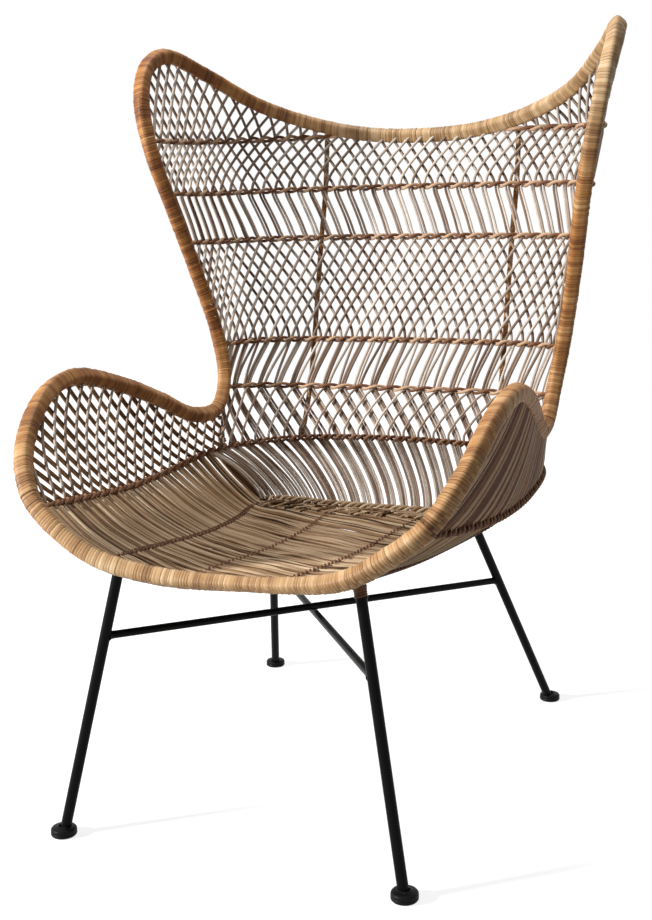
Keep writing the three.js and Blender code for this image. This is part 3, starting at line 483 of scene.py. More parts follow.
def wound(place, direction, reference, radius, pitch, first, last, sides, lifts, slips,
          square=2.0, roll=0.0, twist=0.0, slim=even):
    """Strip wound on a bar: radius plus the strip's own lift and a groove at each edge, on rings that slide
    along by one strip in each turn; slips move the strips' edges by shares of a strip. A square of 2 gives a
    round bar. More gives a superellipse whose flats and corners lie equally far from the radius, with its
    corners turned by roll, and by twist as well from the left to the right. The radius loses the share that
    slim gives."""
    ring = np.arange(first * STRIP_STEPS, (last + 1) * STRIP_STEPS + 1)
    turn = np.arange(sides) / sides
    strip, part = ring // STRIP_STEPS, ring % STRIP_STEPS / STRIP_STEPS
    edge = lambda k: k + slips[k % len(slips)]
    here = edge(strip) * (1 - part) + edge(strip + 1) * part
    onward = edge(strip + 1) * (1 - part) + edge(strip + 2) * part
    s = (here[:, None] * (1 - turn) + onward[:, None] * turn) * pitch
    centre = place(s)
    forward = direction(s)
    out, side = square_to(forward, reference(centre))
    angle = (turn * 2 * np.pi)[None, :, None]
    diagonal = angle + np.pi / 4 - roll - twist * np.tanh(centre[..., :1] / RIM_TWIST_REACH)
    round_off = (np.abs(np.cos(diagonal)) ** square + np.abs(np.sin(diagonal)) ** square) ** (-1 / square)
    rise = lifts[strip % len(lifts)] + STRIP_RISE[ring % STRIP_STEPS]
    height = radius * (1 - slim(centre)) * round_off / 2 ** (0.25 - 0.5 / square) + rise[:, None, None]
    points = centre + height * (np.cos(angle) * out + np.sin(angle) * side)
    index = numbered(points)
    wrapped = np.full_like(index[:, :1], -1)
    wrapped[:-STRIP_STEPS] = index[STRIP_STEPS:, :1]
    quads = grid_faces(np.concatenate([index, wrapped], 1))
    level = np.repeat(ring / STRIP_STEPS, sides).reshape(len(ring), sides)
    strips = np.stack([level[:-1], level[:-1], level[1:], level[1:]], -1).reshape(-1, 4)
    whole = (quads >= 0).all(1)
    return {"points": points.reshape(-1, 3), "faces": [quads[whole]], "strip": strips[whole].ravel()}


# The rim's wrap
rim_loop = np.concatenate([rim, rim[:1]])
rim_run = run_along(rim_loop)
RIM_LENGTH = rim_run[-1]
RIM_STRIPS = round(RIM_LENGTH / PEEL_STRIP)
RIM_PITCH = RIM_LENGTH / RIM_STRIPS
RIM_SIDES = 32
RIM_LIFT = 0.22
RIM_SLIP = 0.42

# The rim is slimmer near the middle of the front, and its underside runs higher there
FRONT_SLIM = 0.23
FRONT_SLIM_MIDDLE, FRONT_SLIM_REACH = 45.0, 95.0
FRONT_SLIM_RISE = 1.6


def on_rim(s):
    """Points of the rim at distances s from the top middle, clockwise seen from the front."""
    return np.stack([np.interp(s % RIM_LENGTH, rim_run, rim_loop[:, k]) for k in range(3)], -1)


def along_rim(s):
    """Unit direction of the rim at distances s."""
    return unit(on_rim(s + TANGENT_STEP) - on_rim(s - TANGENT_STEP))


def from_heart(p):
    """Directions from the middle of the shell."""
    return p - SHELL_HEART


def front_slim(p):
    """Share of the rim's radius that is missing: a bell over x in front of the seat, nothing behind."""
    bell = np.exp(-((p[..., :1] - FRONT_SLIM_MIDDLE) / FRONT_SLIM_REACH) ** 2)
    return FRONT_SLIM * bell * (p[..., 1:2] < 0)


def on_wrapped_rim(s):
    """Points of the rim's middle line, raised where the rim is slimmer."""
    p = on_rim(s)
    return p + FRONT_SLIM_RISE * RIM_RADIUS * front_slim(p) * UP


rim_lifts = chance.normal(0, RIM_LIFT, RIM_STRIPS)
rim_slips = chance.uniform(-RIM_SLIP, RIM_SLIP, RIM_STRIPS)
rim_places = [TIP, WAIST, CORNER, len(rim) - CORNER, len(rim) - WAIST, len(rim) - TIP]
right_tip, right_waist, right_corner, left_corner, left_waist, left_tip = (
    int(rim_run[place] / RIM_PITCH) for place in rim_places)
for name, node, first, last in (
    ("peel_top_rail", "top_rail_wrap", left_tip - RIM_STRIPS, right_tip),
    ("peel_right_wing", "wing_wrap_right", right_tip, right_waist),
    ("peel_right_arm", "arm_wrap_right", right_waist, right_corner),
    ("peel_front_rail", "front_rail_wrap", right_corner, left_corner),
    ("peel_left_arm", "arm_wrap_left", left_corner, left_waist),
    ("peel_left_wing", "wing_wrap_left", left_waist, left_tip),
):
    wrap = wound(on_wrapped_rim, along_rim, from_heart, RIM_RADIUS, RIM_PITCH, first, last, RIM_SIDES,
                 rim_lifts, rim_slips, RIM_SQUARE, RIM_ROLL, RIM_TWIST, front_slim)
    wrap["strip"] = wrap["strip"] + RIM_STRIPS
    piece(name, peel, "peel", [node], wrap)

# Bare rattan pole inside the wrap
POLE_STEPS = 720
POLE_TONE = 0.6
pole_path = on_wrapped_rim(np.linspace(0, RIM_LENGTH, POLE_STEPS, endpoint=False))
pole = closed_bar(pole_path, from_heart(pole_path), POLE, sides=12)
pole["tone"] = np.full(len(pole["points"]), POLE_TONE)
piece("pole_rim", seat_cane, "pole", ["rim_pole"], pole)

# Canes are cut from finely stepped lines, and short ends are left out; near a row they bend in to it
FINE_STEPS = 161
SHORTEST_STEPS = 12
ROW_BEND = 0.14


def wall_canes(lower, upper, from_s, to_s, ease, offset, slip, width, tone, count=15, beyond=0.0):
    """Canes from one row up to the next. A cane's distance from the middle goes from its foot to its head by
    a cubic whose slopes at the two ends are the two numbers of ease, where 1 is straight. It stands off the
    wall by offset between the rows, and beside its mate by slip at the rows. What would pass the rim is cut
    there."""
    glide = lambda t: t * (ease[0] + t * (3 - 2 * ease[0] - ease[1] + t * (ease[0] + ease[1] - 2)))
    low_reach, high_reach = reach[lower], reach[upper]
    wall_reach = lambda t: low_reach + (high_reach - low_reach) * t
    fine = np.linspace(0, 1, FINE_STEPS)
    s = from_s[:, None] + (to_s - from_s)[:, None] * glide(fine)
    inside = np.abs(s) <= wall_reach(fine) + beyond
    kept = inside.sum(1) > SHORTEST_STEPS
    from_s, to_s, inside, tone = from_s[kept], to_s[kept], inside[kept], tone[kept]
    start = fine[inside.argmax(1)]
    stop = 1 - fine[inside[:, ::-1].argmax(1)]
    t = start[:, None] + (stop - start)[:, None] * np.linspace(0, 1, count)
    share = (from_s[:, None] + (to_s - from_s)[:, None] * glide(t)) / wall_reach(t)
    low, high = on(rows[lower], share * low_reach), on(rows[upper], share * high_reach)
    across = ahead(rows[lower], share * low_reach)
    normal = unit(np.cross(across, high - low))
    clear = np.sin(np.pi / 2 * np.clip(np.minimum(t, 1 - t) / ROW_BEND, 0, 1))[..., None]
    paths = low + (high - low) * t[..., None] + normal * offset * clear + across * slip * (1 - clear)
    return canes(paths, normal, width, tone)


def tones(count, low, high):
    """Random tones for a number of canes."""
    return chance.uniform(low, high, count)


def scattered(distances, amount=0.7):
    """Distances with a little disorder, as hands leave it."""
    return distances + chance.normal(0, amount, len(distances))


stake = np.arange(-40, 41)
stakes = len(stake)
SIDE = CANE / 2
STRAIGHT = (0.9, 0.9)
# The canes behind get darker tones than those in front, in part as painted shade where they lie behind
FRONT_TONES, BACK_SHADED_TONES = (0.3, 1.0), (0.2, 0.85)


def stake_at(row, shift=0.0):
    """Distances of the stakes on a row from its middle, moved by a number of pitches."""
    return scattered(PITCH[row] * (stake + PHASE[row] + shift))


# Tall lattice between rows 4 and 3: canes in front lean right, canes behind lean left
TALL_LEAN = 5.1
TALL_STEPS = 21
TALL_FRONT_EASE, TALL_BACK_EASE = (0.85, 0.75), (0.45, 1.25)
piece("canes_tall_lattice", cane, "stake",
      ["weave_tall_left_wing", "weave_tall_left_back", "weave_tall_right_back", "weave_tall_right_wing"],
      wall_canes(4, 3, stake_at(4), stake_at(3, TALL_LEAN), TALL_FRONT_EASE, SIDE, SIDE, CANE,
                 tones(stakes, *FRONT_TONES), TALL_STEPS),
      wall_canes(4, 3, stake_at(4), stake_at(3, -TALL_LEAN), TALL_BACK_EASE, -SIDE, -SIDE, CANE,
                 tones(stakes, *BACK_SHADED_TONES), TALL_STEPS))

# Thin canes along the right wing, by their distances from the ends of the rows
EDGE_FOOT, EDGE_HEAD = np.array((19.0, 13.0, 7.0, 1.0)), np.array((26.0, 17.0, 9.0, 2.0))
EDGE_TONES = (0.6, 1.0)
edge_foot, edge_middle, edge_head = reach[4] - EDGE_FOOT, reach[3] - EDGE_HEAD, reach[2] - EDGE_HEAD
piece("canes_right_edge", cane, "stake", [],
      wall_canes(4, 3, edge_foot, edge_middle, STRAIGHT, SIDE * 2, SIDE, THIN_CANE,
                 tones(len(EDGE_FOOT), *EDGE_TONES)),
      wall_canes(3, 2, edge_middle, edge_head, STRAIGHT, SIDE, SIDE, THIN_CANE,
                 tones(len(EDGE_HEAD), *EDGE_TONES)))

# Leaning pairs between rows 3 and 2
PAIR_GAP = 5.2
PAIR_EASE = (0.7, 1.05)
pair_foot, pair_head = stake_at(3), stake_at(2)
piece("canes_high_pairs", cane, "stake",
      ["stakes_high_left_wing", "stakes_high_middle_back", "stakes_high_right_wing"],
      wall_canes(3, 2, pair_foot, pair_head, PAIR_EASE, 0, SIDE, THIN_CANE, tones(stakes, *FRONT_TONES)),
      wall_canes(3, 2, scattered(pair_foot - PAIR_GAP), scattered(pair_head - PAIR_GAP), PAIR_EASE, 0, SIDE,
                 THIN_CANE, tones(stakes, 0.2, 0.9)))

# High lattice between row 2 and row 1, which runs inside the top rail between the wings
FRONT_LEAN, BACK_LEAN = 3.1, -2.75
HIGH_SHIFT = 0.15
HIGH_FRONT_EASE = (0.15, 1.15)
row_1_front = scattered(PITCH[1] * (stake + PHASE[2] + FRONT_LEAN))
row_1_back = scattered(PITCH[1] * (stake + PHASE[2] + BACK_LEAN))
piece("canes_high_lattice", cane, "stake",
      ["weave_high_left_wing", "weave_high_left_back", "weave_high_right_back", "weave_high_right_wing"],
      wall_canes(2, 1, stake_at(2, HIGH_SHIFT), row_1_front, HIGH_FRONT_EASE, SIDE, SIDE, CANE,
                 tones(stakes, *FRONT_TONES)),
      wall_canes(2, 1, stake_at(2), row_1_back, STRAIGHT, -SIDE, -SIDE, CANE, tones(stakes, *BACK_SHADED_TONES)))

# Between rows 5 and 4 the canes of the pairs lean right and gather into bundles of three
GATHER_EASE = (0.5, 1.1)
cane_order = np.arange(-90, 91)
pair_s = scattered(PITCH[4] * (cane_order // 2) + (cane_order % 2 * 2 - 1) * SIDE)
gather_s = scattered(PITCH[5] * (cane_order // BUNDLE + PHASE[5]) + (cane_order % BUNDLE - 1) * CANE)
piece("canes_low_pairs", cane, "stake",
      ["stakes_low_left_wing", "stakes_low_middle_back", "stakes_low_right_wing"],
      wall_canes(5, 4, gather_s, pair_s, GATHER_EASE, 0, 0, CANE, tones(len(cane_order), 0.2, 1.0)))

# Low lattice between rows 6 and 5: thin single canes in front lean right, bundles of three behind lean left
LOW_BEYOND = 14.0
LOW_FRONT_SHIFT = 6.0
LOW_LEAN = 2
LOW_FRONT_EASE = (0.1, 1.2)
BUNDLE_GAP = 4.4
bundle = np.arange(-30, 31)
bundles = len(bundle)
low_foot = PITCH[6] * (bundle + PHASE[6])
front_head = PITCH[5] * (bundle + LOW_LEAN + PHASE[5])
back_head = PITCH[5] * (bundle - LOW_LEAN + PHASE[5])
piece("canes_low_lattice", cane, "stake",
      ["weave_low_left_wing", "weave_low_left_back", "weave_low_right_back", "weave_low_right_wing"],
      wall_canes(6, 5, scattered(low_foot + LOW_FRONT_SHIFT), scattered(front_head), LOW_FRONT_EASE,
                 2 * SIDE, 2 * SIDE, THIN_CANE, tones(bundles, 0.4, 1.0), beyond=LOW_BEYOND),
      *[wall_canes(6, 5, scattered(low_foot + step * BUNDLE_GAP), scattered(back_head + step * BUNDLE_GAP),
                   STRAIGHT, -SIDE, -SIDE, THIN_CANE, tones(bundles, *BACK_SHADED_TONES), beyond=LOW_BEYOND)
        for step in (-1, 0, 1)])

# Canes of a panel that stands on a row and ends at the rim above it, cut from lines stepped by a millimetre
PANEL_HEIGHT = 260
PANEL_BEND = 18
PANEL_STEPS = 15
SHORTEST_RISE = 8


def panel_canes(row, top, from_s, slope, curl, offset, width, tone, low_end, high_end):
    """Canes that climb a panel: the distance along the row is s + slope * h * (1 + curl * h) at height h, and
    the panel is ruled from the row to the rim's point at the same depth y. Cut at the rim and the ends."""
    fine = np.linspace(0, PANEL_HEIGHT, PANEL_HEIGHT + 1)
    drift = lambda h: slope * h * (1 + curl * h)
    order = np.argsort(top[:, 1])
    above = lambda y: np.stack([np.interp(y, top[order, 1], top[order, k]) for k in range(3)], -1)
    s = from_s[:, None] + drift(fine)
    base = on(rows[row], s)
    inside = (fine <= (above(base[..., 1]) - base)[..., 2]) & (s >= low_end) & (s <= high_end)
    kept = inside.sum(1) > SHORTEST_RISE
    from_s, inside, tone = from_s[kept], inside[kept], tone[kept]
    start = fine[inside.argmax(1)]
    run = inside | (fine < start[:, None])
    stop = np.where(run.all(1), fine[-1], fine[run.argmin(1) - 1])
    h = start[:, None] + (stop - start)[:, None] * np.linspace(0, 1, PANEL_STEPS)
    s = from_s[:, None] + drift(h)
    base = on(rows[row], s)
    rise = above(base[..., 1]) - base
    normal = unit(np.cross(ahead(rows[row], s), rise))
    clear = np.clip(h / PANEL_BEND, 0, 1)[..., None]
    paths = base + rise * (h / rise[..., 2])[..., None] + normal * offset * clear
    return canes(paths, normal, width, tone)


# Arm panels: thin upright canes inside; leaning canes outside, paired on the left and even on the right
ARM_BEYOND = 12.0
UPRIGHT_LEAN, UPRIGHT_CURL = 0.05, 0.052
RIBBON_LEAN, RIBBON_CURL = -1.55, -0.0018
arm_rim = rim[WAIST:CORNER + 2 * SPAN]
arm_places = PITCH[6] * (np.arange(-34, 35) + PHASE[6])
left_ends = (-ARM_REACH, -WAIST_REACH + ARM_BEYOND)
right_ends = (WAIST_REACH - ARM_BEYOND, ARM_REACH)
# The leaning canes outside the left arm get dark tones, in part as painted shade behind the uprights
for side_name, way, rim_top, ends, ribbon_cane, ribbon, ribbon_gap, ribbon_tones in (
    ("left", -1, mirrored(arm_rim), left_ends, seat_cane, 2, 4.6, (0.15, 0.3, 0.45)),
    ("right", 1, arm_rim, right_ends, twine, 4, 6.6, (0.15, 0.6, 1.1)),
):
    piece(f"canes_{side_name}_arm", cane, "stake", [f"arm_weave_{side_name}"],
          panel_canes(6, rim_top, scattered(arm_places), -way * UPRIGHT_LEAN, UPRIGHT_CURL, SIDE, THIN_CANE,
                      tones(len(arm_places), 0.4, 0.9), *ends))
    piece(f"ribbons_{side_name}_arm", ribbon_cane, "stake", [],
          *[panel_canes(6, rim_top, scattered(arm_places - step * ribbon_gap), RIBBON_LEAN, RIBBON_CURL,
                        -SIDE, THIN_CANE, chance.choice(ribbon_tones, len(arm_places)), *ends)
            for step in range(ribbon)])

# Top lattice in the wings, above row 1
ROW_1_START = 168.0
TOP_FRONT_LEAN, TOP_BACK_LEAN = 0.5, -0.65
TOP_START = 10
wing_top = rim[TOP_START:TIP + np.argmin(rim[TIP:WAIST, 1])]
for side_name, rim_top, ends in (
    ("left", mirrored(wing_top), (-reach[1], -ROW_1_START)),
    ("right", wing_top, (ROW_1_START, reach[1])),
):
    # The canes behind get darker tones than those in front, in part as painted shade
    piece(f"canes_{side_name}_wing_top", cane, "stake", [f"weave_top_{side_name}_wing"],
          panel_canes(1, rim_top, row_1_front, TOP_FRONT_LEAN, 0, SIDE, CANE,
                      tones(stakes, 0.45, 0.95), *ends),
          panel_canes(1, rim_top, row_1_back, TOP_BACK_LEAN, 0, -SIDE, CANE,
                      tones(stakes, 0.05, 0.6), *ends))

# Twined rows: the twist is loose, and tightens to a share of that where the row meets the rim
ROW_END = 80.0
ROW_END_TWIST = 0.2
TWINE_STEP = 2.6
TWINE_PLAY = 0.2
IN_OUT = CANE / 2 + WEAVER / 2 + TWINE_PLAY
UP_DOWN = 3.0
TWO_TONES = np.array((0.3, 0.85))


def twined(line, up, from_s, to_s, pitch, phase, in_out, up_down, width, tone):
    """Two canes twisted about each other: out by cos(pi s / pitch) and up by sin(pi s / pitch), half a turn
    apart, so that each stake has one in front of it and one behind. The twist tightens at the row's ends."""
    s = np.linspace(from_s, to_s, int(abs(to_s - from_s) / TWINE_STEP) + 2)
    centre = on(line, s)
    forward = ahead(line, s)
    out = unit(np.cross(forward, up(s)))
    rise = np.cross(out, forward)
    angle = np.pi * (s / pitch - phase)
    tight = ROW_END_TWIST + (1 - ROW_END_TWIST) * np.clip(np.minimum(s - from_s, to_s - s) / ROW_END, 0, 1)
    out_part, up_part = in_out * tight * np.cos(angle), up_down * tight * np.sin(angle)
    twist = out_part[:, None] * out + up_part[:, None] * rise
    paths = np.stack([centre + twist, centre - twist])
    return canes(paths, np.stack([out, out]), width, tone, sides=7)


def wall_up(row, below, above):
    """The direction up the wall at a row, from the row below to the row above."""
    beside = lambda other, s: on(rows[other], s / reach[row] * reach[other])
    return lambda s: beside(above, s) - beside(below, s)


# Row 1 is in two halves, which start a little nearer the middle than the wings' top lattice
ROW_1_INSIDE = 20
ROW_1_PHASE = 0.4
row_1_start = ROW_1_START - ROW_1_INSIDE
for side_name, start, stop in (("left", -reach[1], -row_1_start), ("right", row_1_start, reach[1])):
    piece(f"twine_row_1_{side_name}", twine, "twine", [f"row_1_{side_name}"],
          twined(rows[1], wall_up(1, 2, 1), start, stop, PITCH[1], ROW_1_PHASE,
                 IN_OUT, UP_DOWN, WEAVER, TWO_TONES))
for number, below, above in ((2, 3, 1), (3, 4, 2), (4, 5, 3), (5, 6, 4)):
    piece(f"twine_row_{number}", twine, "twine", [f"row_{number}"],
          twined(rows[number], wall_up(number, below, above), -reach[number], reach[number], PITCH[number],
                 PHASE[number], IN_OUT, UP_DOWN, WEAVER, TWO_TONES))

# Row 6 is twined twice as tightly and bulkier, on a way up that is steeper than the wall below it; its darker
# tones are painted shade
ARM_ROW_SHADED_TONES = TWO_TONES * 0.6
ARM_ROW_IN_OUT, ARM_ROW_UP_DOWN = IN_OUT + 0.6, UP_DOWN + 0.4
ARM_ROW_UPRIGHT = 60
seat_up = lambda s: on(rows[6], s) - on(rows[7], s * SEAT_SHARE) + ARM_ROW_UPRIGHT * UP
piece("twine_row_6", twine, "twine", ["row_6"],
      twined(rows[6], seat_up, -ARM_REACH, ARM_REACH, PITCH[6] / 2, PHASE[6], ARM_ROW_IN_OUT, ARM_ROW_UP_DOWN,
             WEAVER, ARM_ROW_SHADED_TONES))

# Seat: places along its sides are shares of the seat row, and places across its floor are shares of the width
SEAT_FRONT_SHARE = 0.965
SEAT_CORNER_SHARE = 0.272
FLOOR_ROW_SHARE = 0.36
SIDE_BULGE = 5.0
FRONT_SAG, REAR_SAG = 20.0, 8.0
FLOOR_ARCH = 3.0


def rearward(place):
    """How far towards the rear a place on the seat's side is, from 0 at the front to 1 at the corner."""
    return (SEAT_FRONT_SHARE - place) / (SEAT_FRONT_SHARE - SEAT_CORNER_SHARE)


def on_floor(place, share):
    """The seat floor: from the seat row at a place, share of the way out, hung down by a sag that grows
    forwards and arched up by a few millimetres between the two floor rows."""
    end = on(rows[7], place * reach[7])
    sag = (FRONT_SAG + (REAR_SAG - FRONT_SAG) * rearward(place)) * (1 - share * share)
    arch = FLOOR_ARCH * np.clip(1 - (share / FLOOR_ROW_SHARE) ** 2, 0, 1)
    return np.stack([end[..., 0] * share, end[..., 1], end[..., 2] - sag + arch], -1)


# Bundles of five canes come down the left side, cross the floor on a diagonal and climb the right side
SIDE_PHASE = -0.13
HEAD_GAP, EDGE_GAP, FLOOR_GAP = 3.0, 4.4, 4.2
LEFT_SHIFT = 100.0
EDGE_DISORDER, FLOOR_DISORDER = 0.5, 0.9
DIAGONAL = 6
FLOOR_RUN = DIAGONAL * PITCH[6] / ARM_REACH
FLOOR_PARTS = np.linspace(0, 1, 7)
FLOOR_START, FLOOR_END = 0.245, 0.99
LAST_SHARE = 0.9
SEAT_EYE = 900.0 * UP
first_bundle = round(SEAT_CORNER_SHARE * ARM_REACH / PITCH[6])
last_bundle = round(SEAT_FRONT_SHARE * ARM_REACH / PITCH[6])


def seat_side(place, member, shift):
    """Head, middle and foot of the canes on one side of the seat; shift moves the rear heads forward."""
    edge = on(rows[7], place * reach[7] + member * EDGE_GAP + chance.normal(0, EDGE_DISORDER, len(member)))
    head_s = place * ARM_REACH + member * HEAD_GAP + shift * rearward(place)
    head = on(rows[6], head_s)
    bulge = unit(np.cross(ahead(rows[6], head_s), head - edge)) * SIDE_BULGE
    return [head, (head + edge) / 2 - bulge, edge]


def members(size, count):
    """Numbers of the canes in each of a count of bundles, centred on zero."""
    return np.tile(np.arange(size) - (size - 1) / 2, count)


def seat_canes(first, last, left, right):
    """Canes of the seat's bundles first to last. Each comes down the left side, crosses the floor on a
    diagonal that is DIAGONAL bundles further forward on the right, and climbs the right side. Those without a
    left side start under the rope at the rear, and those without a right side end at the front rim."""
    place = np.repeat((np.arange(first, last + 1) + SIDE_PHASE) * PITCH[6] / ARM_REACH, SEAT_BUNDLE)
    member = members(SEAT_BUNDLE, last + 1 - first)
    own_place = place + member * FLOOR_GAP / reach[7]
    start = -1 if left else np.clip(2 * (FLOOR_START - own_place) / FLOOR_RUN - 1, -1, LAST_SHARE)
    stop = 1 if right else np.clip(2 * (FLOOR_END - own_place) / FLOOR_RUN - 1, -LAST_SHARE, 1)
    points = [mirrored(p) for p in seat_side(place, member, LEFT_SHIFT)] if left else []
    for part in FLOOR_PARTS[int(left):len(FLOOR_PARTS) - int(right)]:
        share = start + (stop - start) * part + 0 * place
        uneven = chance.normal(0, FLOOR_DISORDER, (2, len(member)))
        along = place + FLOOR_RUN * (1 + share) / 2 + (member * FLOOR_GAP + uneven[0]) / reach[7]
        points.append(on_floor(along, share) + uneven[1][:, None] * UP)
    if right:
        points += seat_side(place + FLOOR_RUN, member, 0.0)[::-1]
    paths = smooth_line(np.stack(points, 1), steps=7)
    return canes(paths, SEAT_EYE - paths * (1, 0, 1), SEAT_CANE, tones(len(member), 0.0, 1.0), sides=7)


piece("canes_seat", seat_cane, "stake", ["seat_side_left", "seat_side_right", "seat_floor"],
      seat_canes(first_bundle, last_bundle - DIAGONAL, True, True),
      seat_canes(last_bundle - DIAGONAL + 1, last_bundle, True, False),
      seat_canes(first_bundle - DIAGONAL, first_bundle - 1, False, True))

# Back of the seat: bundles of four from the arm row, which lean right on their way to the rear border and end
# in two layers. Those left of the seat's corner are a fan, and the furthest of them are nearly flat.
BACK_BUNDLE = 4
BACK_STEPS = 17
BACK_HEAD_GAP, BACK_FOOT_GAP = 4.5, 4.0
HEAD_DISORDER = 0.4
SEAT_BACK_LEAN = 63.0
SEAT_BACK_FAN = -0.14
SEAT_BACK_SLIDE = 1.3
SEAT_BACK_BULGE = 12.0
BULGE_FULL, BULGE_RUN, FAN_BULGE = -180.0, 160.0, -0.2
LEFT_FAN_BUNDLES = 5
STACK = 1.6
corner_reach = SEAT_CORNER_SHARE * reach[7]
back_bundle = np.arange(-first_bundle - LEFT_FAN_BUNDLES, first_bundle + 1)
back_member = members(BACK_BUNDLE, len(back_bundle))
back_middle = np.repeat(PITCH[6] * (back_bundle - PHASE[6]), BACK_BUNDLE)
back_s = scattered(back_middle + back_member * BACK_HEAD_GAP, HEAD_DISORDER)
lean = SEAT_BACK_LEAN + SEAT_BACK_FAN * back_middle
foot_middle = np.clip((back_middle + lean) * SEAT_SHARE, -corner_reach, corner_reach)
foot_s = scattered(foot_middle + back_member * BACK_FOOT_GAP)
t = np.linspace(0, 1, BACK_STEPS)
slide = 1 - (1 - t) ** SEAT_BACK_SLIDE
back_top = on(rows[6], back_s[:, None] + lean[:, None] * slide)
back_low = on(rows[7], back_s[:, None] * SEAT_SHARE + (foot_s - back_s * SEAT_SHARE)[:, None] * slide)
back_normal = unit(np.cross(ahead(rows[6], back_s[:, None] + 0 * t), back_top - back_low))
bulge = SEAT_BACK_BULGE * np.clip(1 + (back_middle - BULGE_FULL) / BULGE_RUN, FAN_BULGE, 1)
stack = np.where(back_member % 2 < 1, STACK, -STACK)[:, None] * t
sunk = 4 * bulge[:, None] * t * (1 - t) + stack
back_paths = back_top + (back_low - back_top) * t[:, None] - back_normal * sunk[..., None]
fan = back_middle < -corner_reach / SEAT_SHARE
piece("canes_seat_back", cane, "stake", ["seat_back"],
      canes(back_paths[~fan], back_normal[~fan], SEAT_CANE, tones((~fan).sum(), 0.2, 1.0)))
piece("canes_seat_fan", cane, "stake", [],
      canes(back_paths[fan], back_normal[fan], SEAT_CANE, tones(fan.sum(), 0.3, 1.1)))

# Rope of four canes along the rear of the seat
ROPE_TONES = np.array((0.4, 1.0, 0.6, 1.1))
ROPE_RADIUS = 5.6
ROPE_LIFT = 2.5
ROPE_CANE = 5.4
ROPE_TURN = 50.0
ROPE_STEPS = 180
rope_s = np.linspace(-corner_reach, corner_reach, ROPE_STEPS)
rope_out = unit(np.cross(ahead(rows[7], rope_s), UP))
rope_up = np.cross(rope_out, ahead(rows[7], rope_s))
rope_start = np.arange(len(ROPE_TONES))[:, None] / len(ROPE_TONES)
rope_angle = (2 * np.pi * (rope_s / ROPE_TURN + rope_start))[..., None]
rope_twist = np.cos(rope_angle) * rope_out + np.sin(rope_angle) * rope_up
rope_paths = on(rows[7], rope_s) + ROPE_LIFT * UP + ROPE_RADIUS * rope_twist
piece("rope_seat_border", seat_cane, "twine", ["seat_border"],
      canes(rope_paths, np.broadcast_to(rope_out, rope_paths.shape), ROPE_CANE, ROPE_TONES))

FLOOR_REAR_SHARE = 0.2
FLOOR_STEPS = 200
floor_places = np.linspace(FLOOR_REAR_SHARE, SEAT_FRONT_SHARE, FLOOR_STEPS)
floor_depths = on(rows[7], floor_places * reach[7])


def floor_at(x, y, lift):
    """Points at a height above the seat floor at plan positions x and y."""
    place = np.interp(-y, -floor_depths[:, 1], floor_places)
    edge = np.interp(-y, -floor_depths[:, 1], floor_depths[:, 0])
    return on_floor(place, x / edge) + (0 * x + lift)[..., None] * UP


# Loose ends of the back's canes, which pass under the rope and lie on the floor
TAILS = 90
TAIL_STEPS = 9
TAIL_LEFT, TAIL_RIGHT = -178, 120
TAIL_REAR = 205
TAIL_TURN, TAIL_TURN_SPREAD = -12, 22
TAIL_SHORT, TAIL_LONG = 18, 75
TAIL_LIFT, TAIL_RISE, TAIL_LIFT_SPREAD = 1, 2.5, 1.5
TAIL_CANE = SEAT_CANE * 0.85
tail_x = chance.uniform(TAIL_LEFT, TAIL_RIGHT, TAILS)
tail_turn = chance.normal(TAIL_TURN, TAIL_TURN_SPREAD, TAILS)
tail_length = chance.uniform(TAIL_SHORT, TAIL_LONG, TAILS)
tail_lift = TAIL_LIFT + chance.uniform(-TAIL_LIFT_SPREAD, TAIL_LIFT_SPREAD, TAILS)
t = np.linspace(0, 1, TAIL_STEPS)
tail_paths = floor_at(tail_x[:, None] + tail_turn[:, None] * t, TAIL_REAR - tail_length[:, None] * t,
                      tail_lift[:, None] + TAIL_RISE * t)
piece("canes_seat_tails", seat_cane, "stake", [],
      canes(tail_paths, np.broadcast_to(UP, tail_paths.shape), TAIL_CANE, tones(TAILS, -0.2, 1.2)))

# Twined rows of the seat: in and out, up and down, and the width of the canes
SEAT_TWINE_PITCH = 12.0
SIDE_TWINE, FLOOR_TWINE = (4.8, 2.6, 4.0), (4.2, 2.2, 3.4)
DARK_TWINE = (0.0, 0.35)
SEAT_ROW_END = 0.985
SEAT_ROW_UPRIGHT = 40
FLOOR_ROW_START = SEAT_CORNER_SHARE + 0.02
seat_row_up = lambda s: on(rows[6], s / SEAT_SHARE) - on(rows[7], s) + SEAT_ROW_UPRIGHT * UP
floor_row_up = lambda s: np.broadcast_to((-1.0, 0, 0), s.shape + (3,))
for side_name, way in (("left", -1), ("right", 1)):
    start, stop = sorted((way * corner_reach, way * SEAT_ROW_END * reach[7]))
    piece(f"twine_row_7_{side_name}", twine, "twine", [f"row_7_{side_name}"],
          twined(rows[7], seat_row_up, start, stop, SEAT_TWINE_PITCH, 0.0,
                 *SIDE_TWINE, tones(2, *DARK_TWINE)))
    places = np.linspace(FLOOR_ROW_START, SEAT_FRONT_SHARE, ROW_STEPS)
    floor_row = measured(on_floor(places, np.full(ROW_STEPS, way * FLOOR_ROW_SHARE)))
    piece(f"twine_row_8_{side_name}", twine, "twine", [f"row_8_{side_name}"],
          twined(floor_row, floor_row_up, floor_row[0][0], floor_row[0][-1], SEAT_TWINE_PITCH, 0.0,
                 *FLOOR_TWINE, tones(2, *DARK_TWINE)))

# Wrapped ribs up the outside of the back
RIB_OFFSET_X = 168.0
RIB_LIFT, RIB_SLIP = 0.12, 0.2
RIB_SIDES = 12
RIB_SAMPLES = 800
SIDEWAYS = (1.0, 0, 0)


def sideways(p):
    """One direction to the right for every point."""
    return np.broadcast_to(SIDEWAYS, p.shape)


